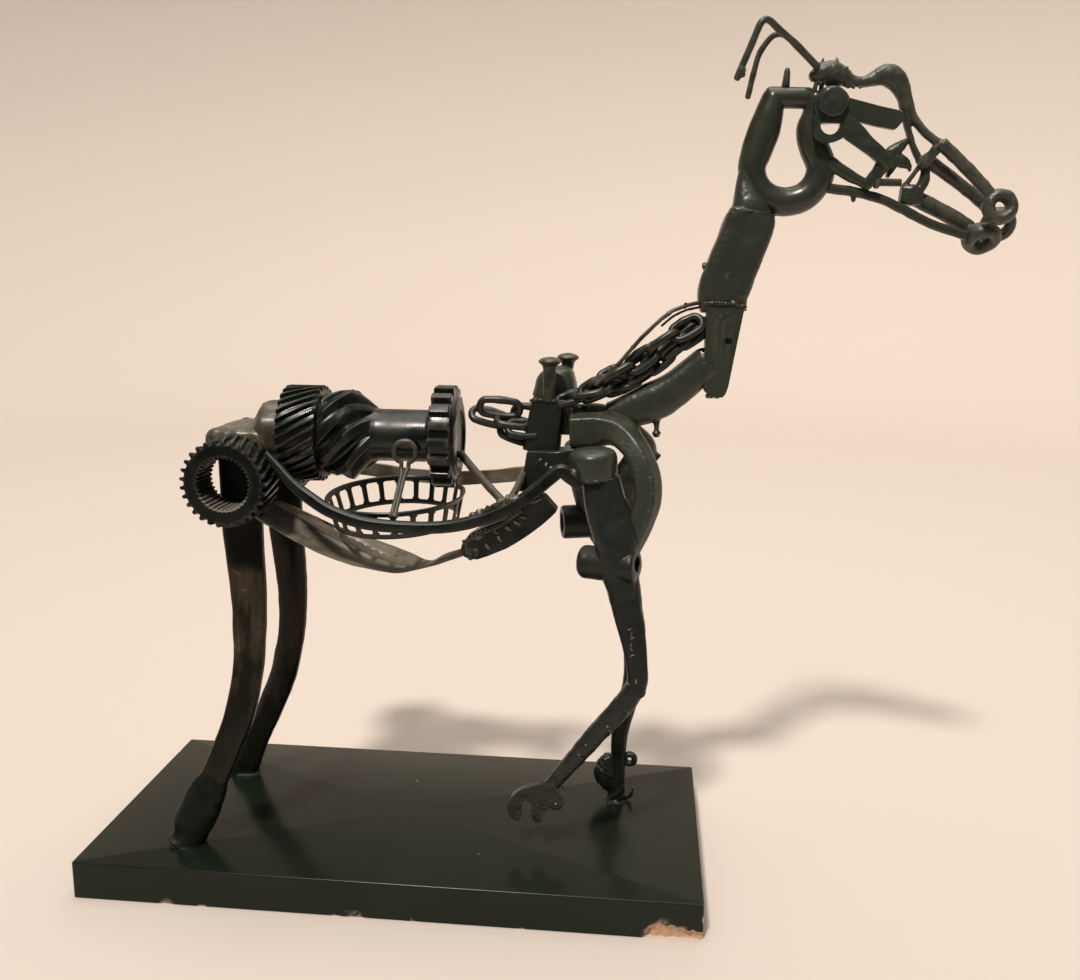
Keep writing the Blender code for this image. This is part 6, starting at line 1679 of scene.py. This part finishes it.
class HORSE_OT_withers(Operator):
    """Socket, dome, bolts, post and rib of the withers"""
    bl_idname = "horse.withers"
    bl_label = "Withers"

    def execute(self, context):
        return run_group(make_withers)


class HORSE_OT_chest(Operator):
    """Forked casting of the chest"""
    bl_idname = "horse.chest"
    bl_label = "Chest"

    def execute(self, context):
        return run_group(make_chest)


class HORSE_OT_forelegs(Operator):
    """Forelegs, caps, spanner and far hoof"""
    bl_idname = "horse.forelegs"
    bl_label = "Forelegs"

    def execute(self, context):
        return run_group(make_forelegs)


class HORSE_OT_chain(Operator):
    """Chain links"""
    bl_idname = "horse.chain"
    bl_label = "Chain"

    def execute(self, context):
        return run_group(make_chain, "horse_sizes")


class HORSE_OT_neck(Operator):
    """Tube, plate, bar and wire of the neck"""
    bl_idname = "horse.neck"
    bl_label = "Neck"

    def execute(self, context):
        return run_group(make_neck)


class HORSE_OT_shackle(Operator):
    """Bow and pin of the shackle"""
    bl_idname = "horse.shackle"
    bl_label = "Shackle"

    def execute(self, context):
        return run_group(make_shackle)


class HORSE_OT_face(Operator):
    """Levers, rods and rings of the face"""
    bl_idname = "horse.face"
    bl_label = "Face"

    def execute(self, context):
        return run_group(make_face)


class HORSE_OT_ears(Operator):
    """Ears, stud and strips of the poll"""
    bl_idname = "horse.ears"
    bl_label = "Ears"

    def execute(self, context):
        return run_group(make_ears)


class HORSE_OT_welds(Operator):
    """Weld beads and the pale knob"""
    bl_idname = "horse.welds"
    bl_label = "Welds"

    def execute(self, context):
        return run_group(make_welds)


STEPS = (HORSE_OT_stage, HORSE_OT_board, HORSE_OT_hips, HORSE_OT_hind_legs, HORSE_OT_spine,
         HORSE_OT_cage, HORSE_OT_belly, HORSE_OT_withers, HORSE_OT_chest, HORSE_OT_forelegs,
         HORSE_OT_chain, HORSE_OT_neck, HORSE_OT_shackle, HORSE_OT_face, HORSE_OT_ears,
         HORSE_OT_welds)


class HORSE_PT_panel(Panel):
    """Lists the steps that build the horse"""
    bl_idname = "HORSE_PT_panel"
    bl_label = "Scrap steel horse"
    bl_space_type = "VIEW_3D"
    bl_region_type = "UI"
    bl_category = "Horse"

    def draw(self, context):
        for step in STEPS:
            self.layout.operator(step.bl_idname)


GROUPS = {"horse_finish": HorseFinish, "horse_sizes": HorseSizes, "horse_stage": HorseStage}


def register():
    """Adds the classes, and one group of settings of each kind to the scene."""
    for entry in (*GROUPS.values(), *STEPS, HORSE_PT_panel):
        bpy.utils.register_class(entry)
    for name, group in GROUPS.items():
        setattr(bpy.types.Scene, name, PointerProperty(type=group))


def unregister():
    """Takes out what register added."""
    for name in GROUPS:
        delattr(bpy.types.Scene, name)
    for entry in (HORSE_PT_panel, *reversed(STEPS), *reversed(tuple(GROUPS.values()))):
        bpy.utils.unregister_class(entry)


def main():
    register()
    for step in STEPS:
        group, name = step.bl_idname.split(".")
        getattr(getattr(bpy.ops, group), name)()


if __name__ == "__main__":
    main()
